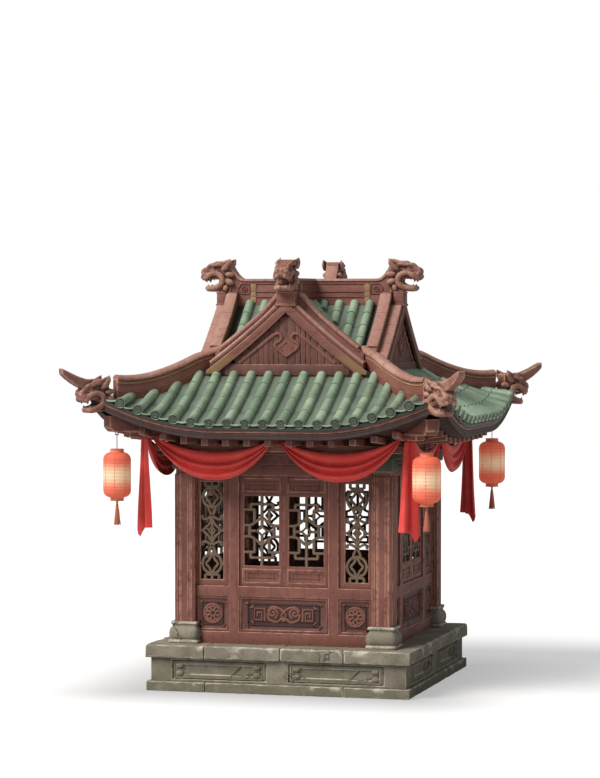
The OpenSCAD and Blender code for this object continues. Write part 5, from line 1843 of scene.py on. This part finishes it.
def cloth(name, across, along, at, size):
    """A sheet from a function of two shares, with its thread directions as a UV map in metres."""
    points = [at(i / across, j / along) for j in range(along + 1) for i in range(across + 1)]
    faces = []
    for j in range(along):
        for i in range(across):
            a = j * (across + 1) + i
            faces.append((a, a + 1, a + across + 2, a + across + 1))
    mesh = bpy.data.meshes.new(name)
    mesh.from_pydata(points, [], faces)
    threads = mesh.uv_layers.new(name="UVMap")
    for loop in mesh.loops:
        j, i = divmod(loop.vertex_index, across + 1)
        threads.data[loop.index].uv = (i / across * size[0], j / along * size[1])
    mesh.materials.append(red_cloth)
    mesh.shade_smooth()
    rough = linked(name, mesh)
    thick = rough.modifiers.new("thickness", "SOLIDIFY")
    thick.thickness = CLOTH_THICKNESS
    thick.offset = 0
    thick.use_rim = True
    made = settled(rough)
    work = bmesh.new()
    work.from_mesh(made)
    bmesh.ops.recalc_face_normals(work, faces=work.faces)
    area = sum(f.calc_area() for f in work.faces) / 2
    work.to_mesh(made)
    work.free()
    print(name, "sheet area", round(area, 3))
    return linked(name, made)


FOLDS = [(0.0, 0.0), (0.05, 0.012), (0.16, 0.016), (0.3, 0.002), (0.4, -0.016), (0.435, -0.006),
         (0.47, 0.018), (0.53, 0.022), (0.6, 0.008), (0.66, -0.012), (0.71, -0.016), (0.745, 0.0),
         (0.79, 0.022), (0.86, 0.026), (0.94, 0.012), (1.0, -0.012)]
SWAG_OUTER, SWAG_INNER, HANG_FACE = 1.668, 0.068, 1.8


def read_off(table, v):
    """The value of a table of pairs at v."""
    return float(np.interp(v, [pair[0] for pair in table], [pair[1] for pair in table]))


smooth_folds = [sum(read_off(FOLDS, min(1, max(0, i / 80 + d * 0.01))) for d in range(-2, 3)) / 5
                for i in range(81)]


def swag_point(side, k, u, v):
    """A point of a swag: u from its outer to its inner end, v from its upper to its lower edge."""
    x = SWAG_OUTER + (SWAG_INNER - SWAG_OUTER) * u
    sag = 1 - (2 * u - 1) ** 2
    skew = 0.022 * (1 - 2 * u)
    top = HANG_TOP + skew + 0.01 * abs(2 * u - 1) ** 8 - 0.176 * sag
    foot = 3.3 + skew - 0.494 * (1 - abs(2 * u - 1) ** 2.25)
    gather = max(0.0, abs(2 * u - 1) - 0.82) / 0.18
    z = top + (foot - top) * v
    out = float(np.interp(v, np.linspace(0, 1, 81), smooth_folds)) * (0.45 + 0.55 * min(1, sag * 2.2))
    out = 1.7 * out + 0.02 * gather * sin(v * 4 * tau + 1.0) + 0.004 * sin(u * 9 + v * 2 + k)
    return turned([(side * x, -HANG_FACE - out, z)], k)[0]


for k, side_name in enumerate(SIDES):
    for side, half_name in ((-1, "left"), (1, "right")):
        swag = cloth(f"swag_{side_name}_{half_name}", 48, 56, lambda u, v: swag_point(side, k, u, v),
                     (1.86, 0.42))
        place(swag, "red_cloth", "drape_swags")

# %% Corner tails
TAIL_FOLDS = [(0.0, -0.01), (0.06, 0.03), (0.2, 0.04), (0.4, 0.022), (0.5, -0.022), (0.58, -0.034),
              (0.66, 0.004), (0.76, 0.034), (0.88, 0.03), (0.95, -0.012), (1.0, -0.03)]
HEM = [(0.0, 2.16), (0.1, 2.12), (0.24, 2.06), (0.32, 2.045), (0.4, 2.095), (0.47, 2.16), (0.6, 2.165),
       (1.0, 2.172)]


def tail_point(hand, k, u, v):
    """A point of a corner tail: u across it, v from the beam down to its hem."""
    z = HANG_TOP + (read_off(HEM, u) - HANG_TOP) * v
    width = 0.14 + 0.174 * v ** 0.8
    out = read_off(TAIL_FOLDS, u) * (0.55 + 0.55 * v) + 0.006 * sin(5 * v + 4 * u + k)
    a = hand * (u - 0.5) * width + 0.006 * sin(3.5 * v + k)
    return cornered([(HANG_FACE * ACROSS + out, a, z)], k)[0]


for k, (corner, _, _) in enumerate(CORNERS):
    hand = -1 if k == 0 else 1
    tail = cloth(f"tail_{corner}", 34, 60, lambda u, v: tail_point(hand, k, u, v), (0.42, 1.31))
    place(tail, "red_cloth", "drape_tails")
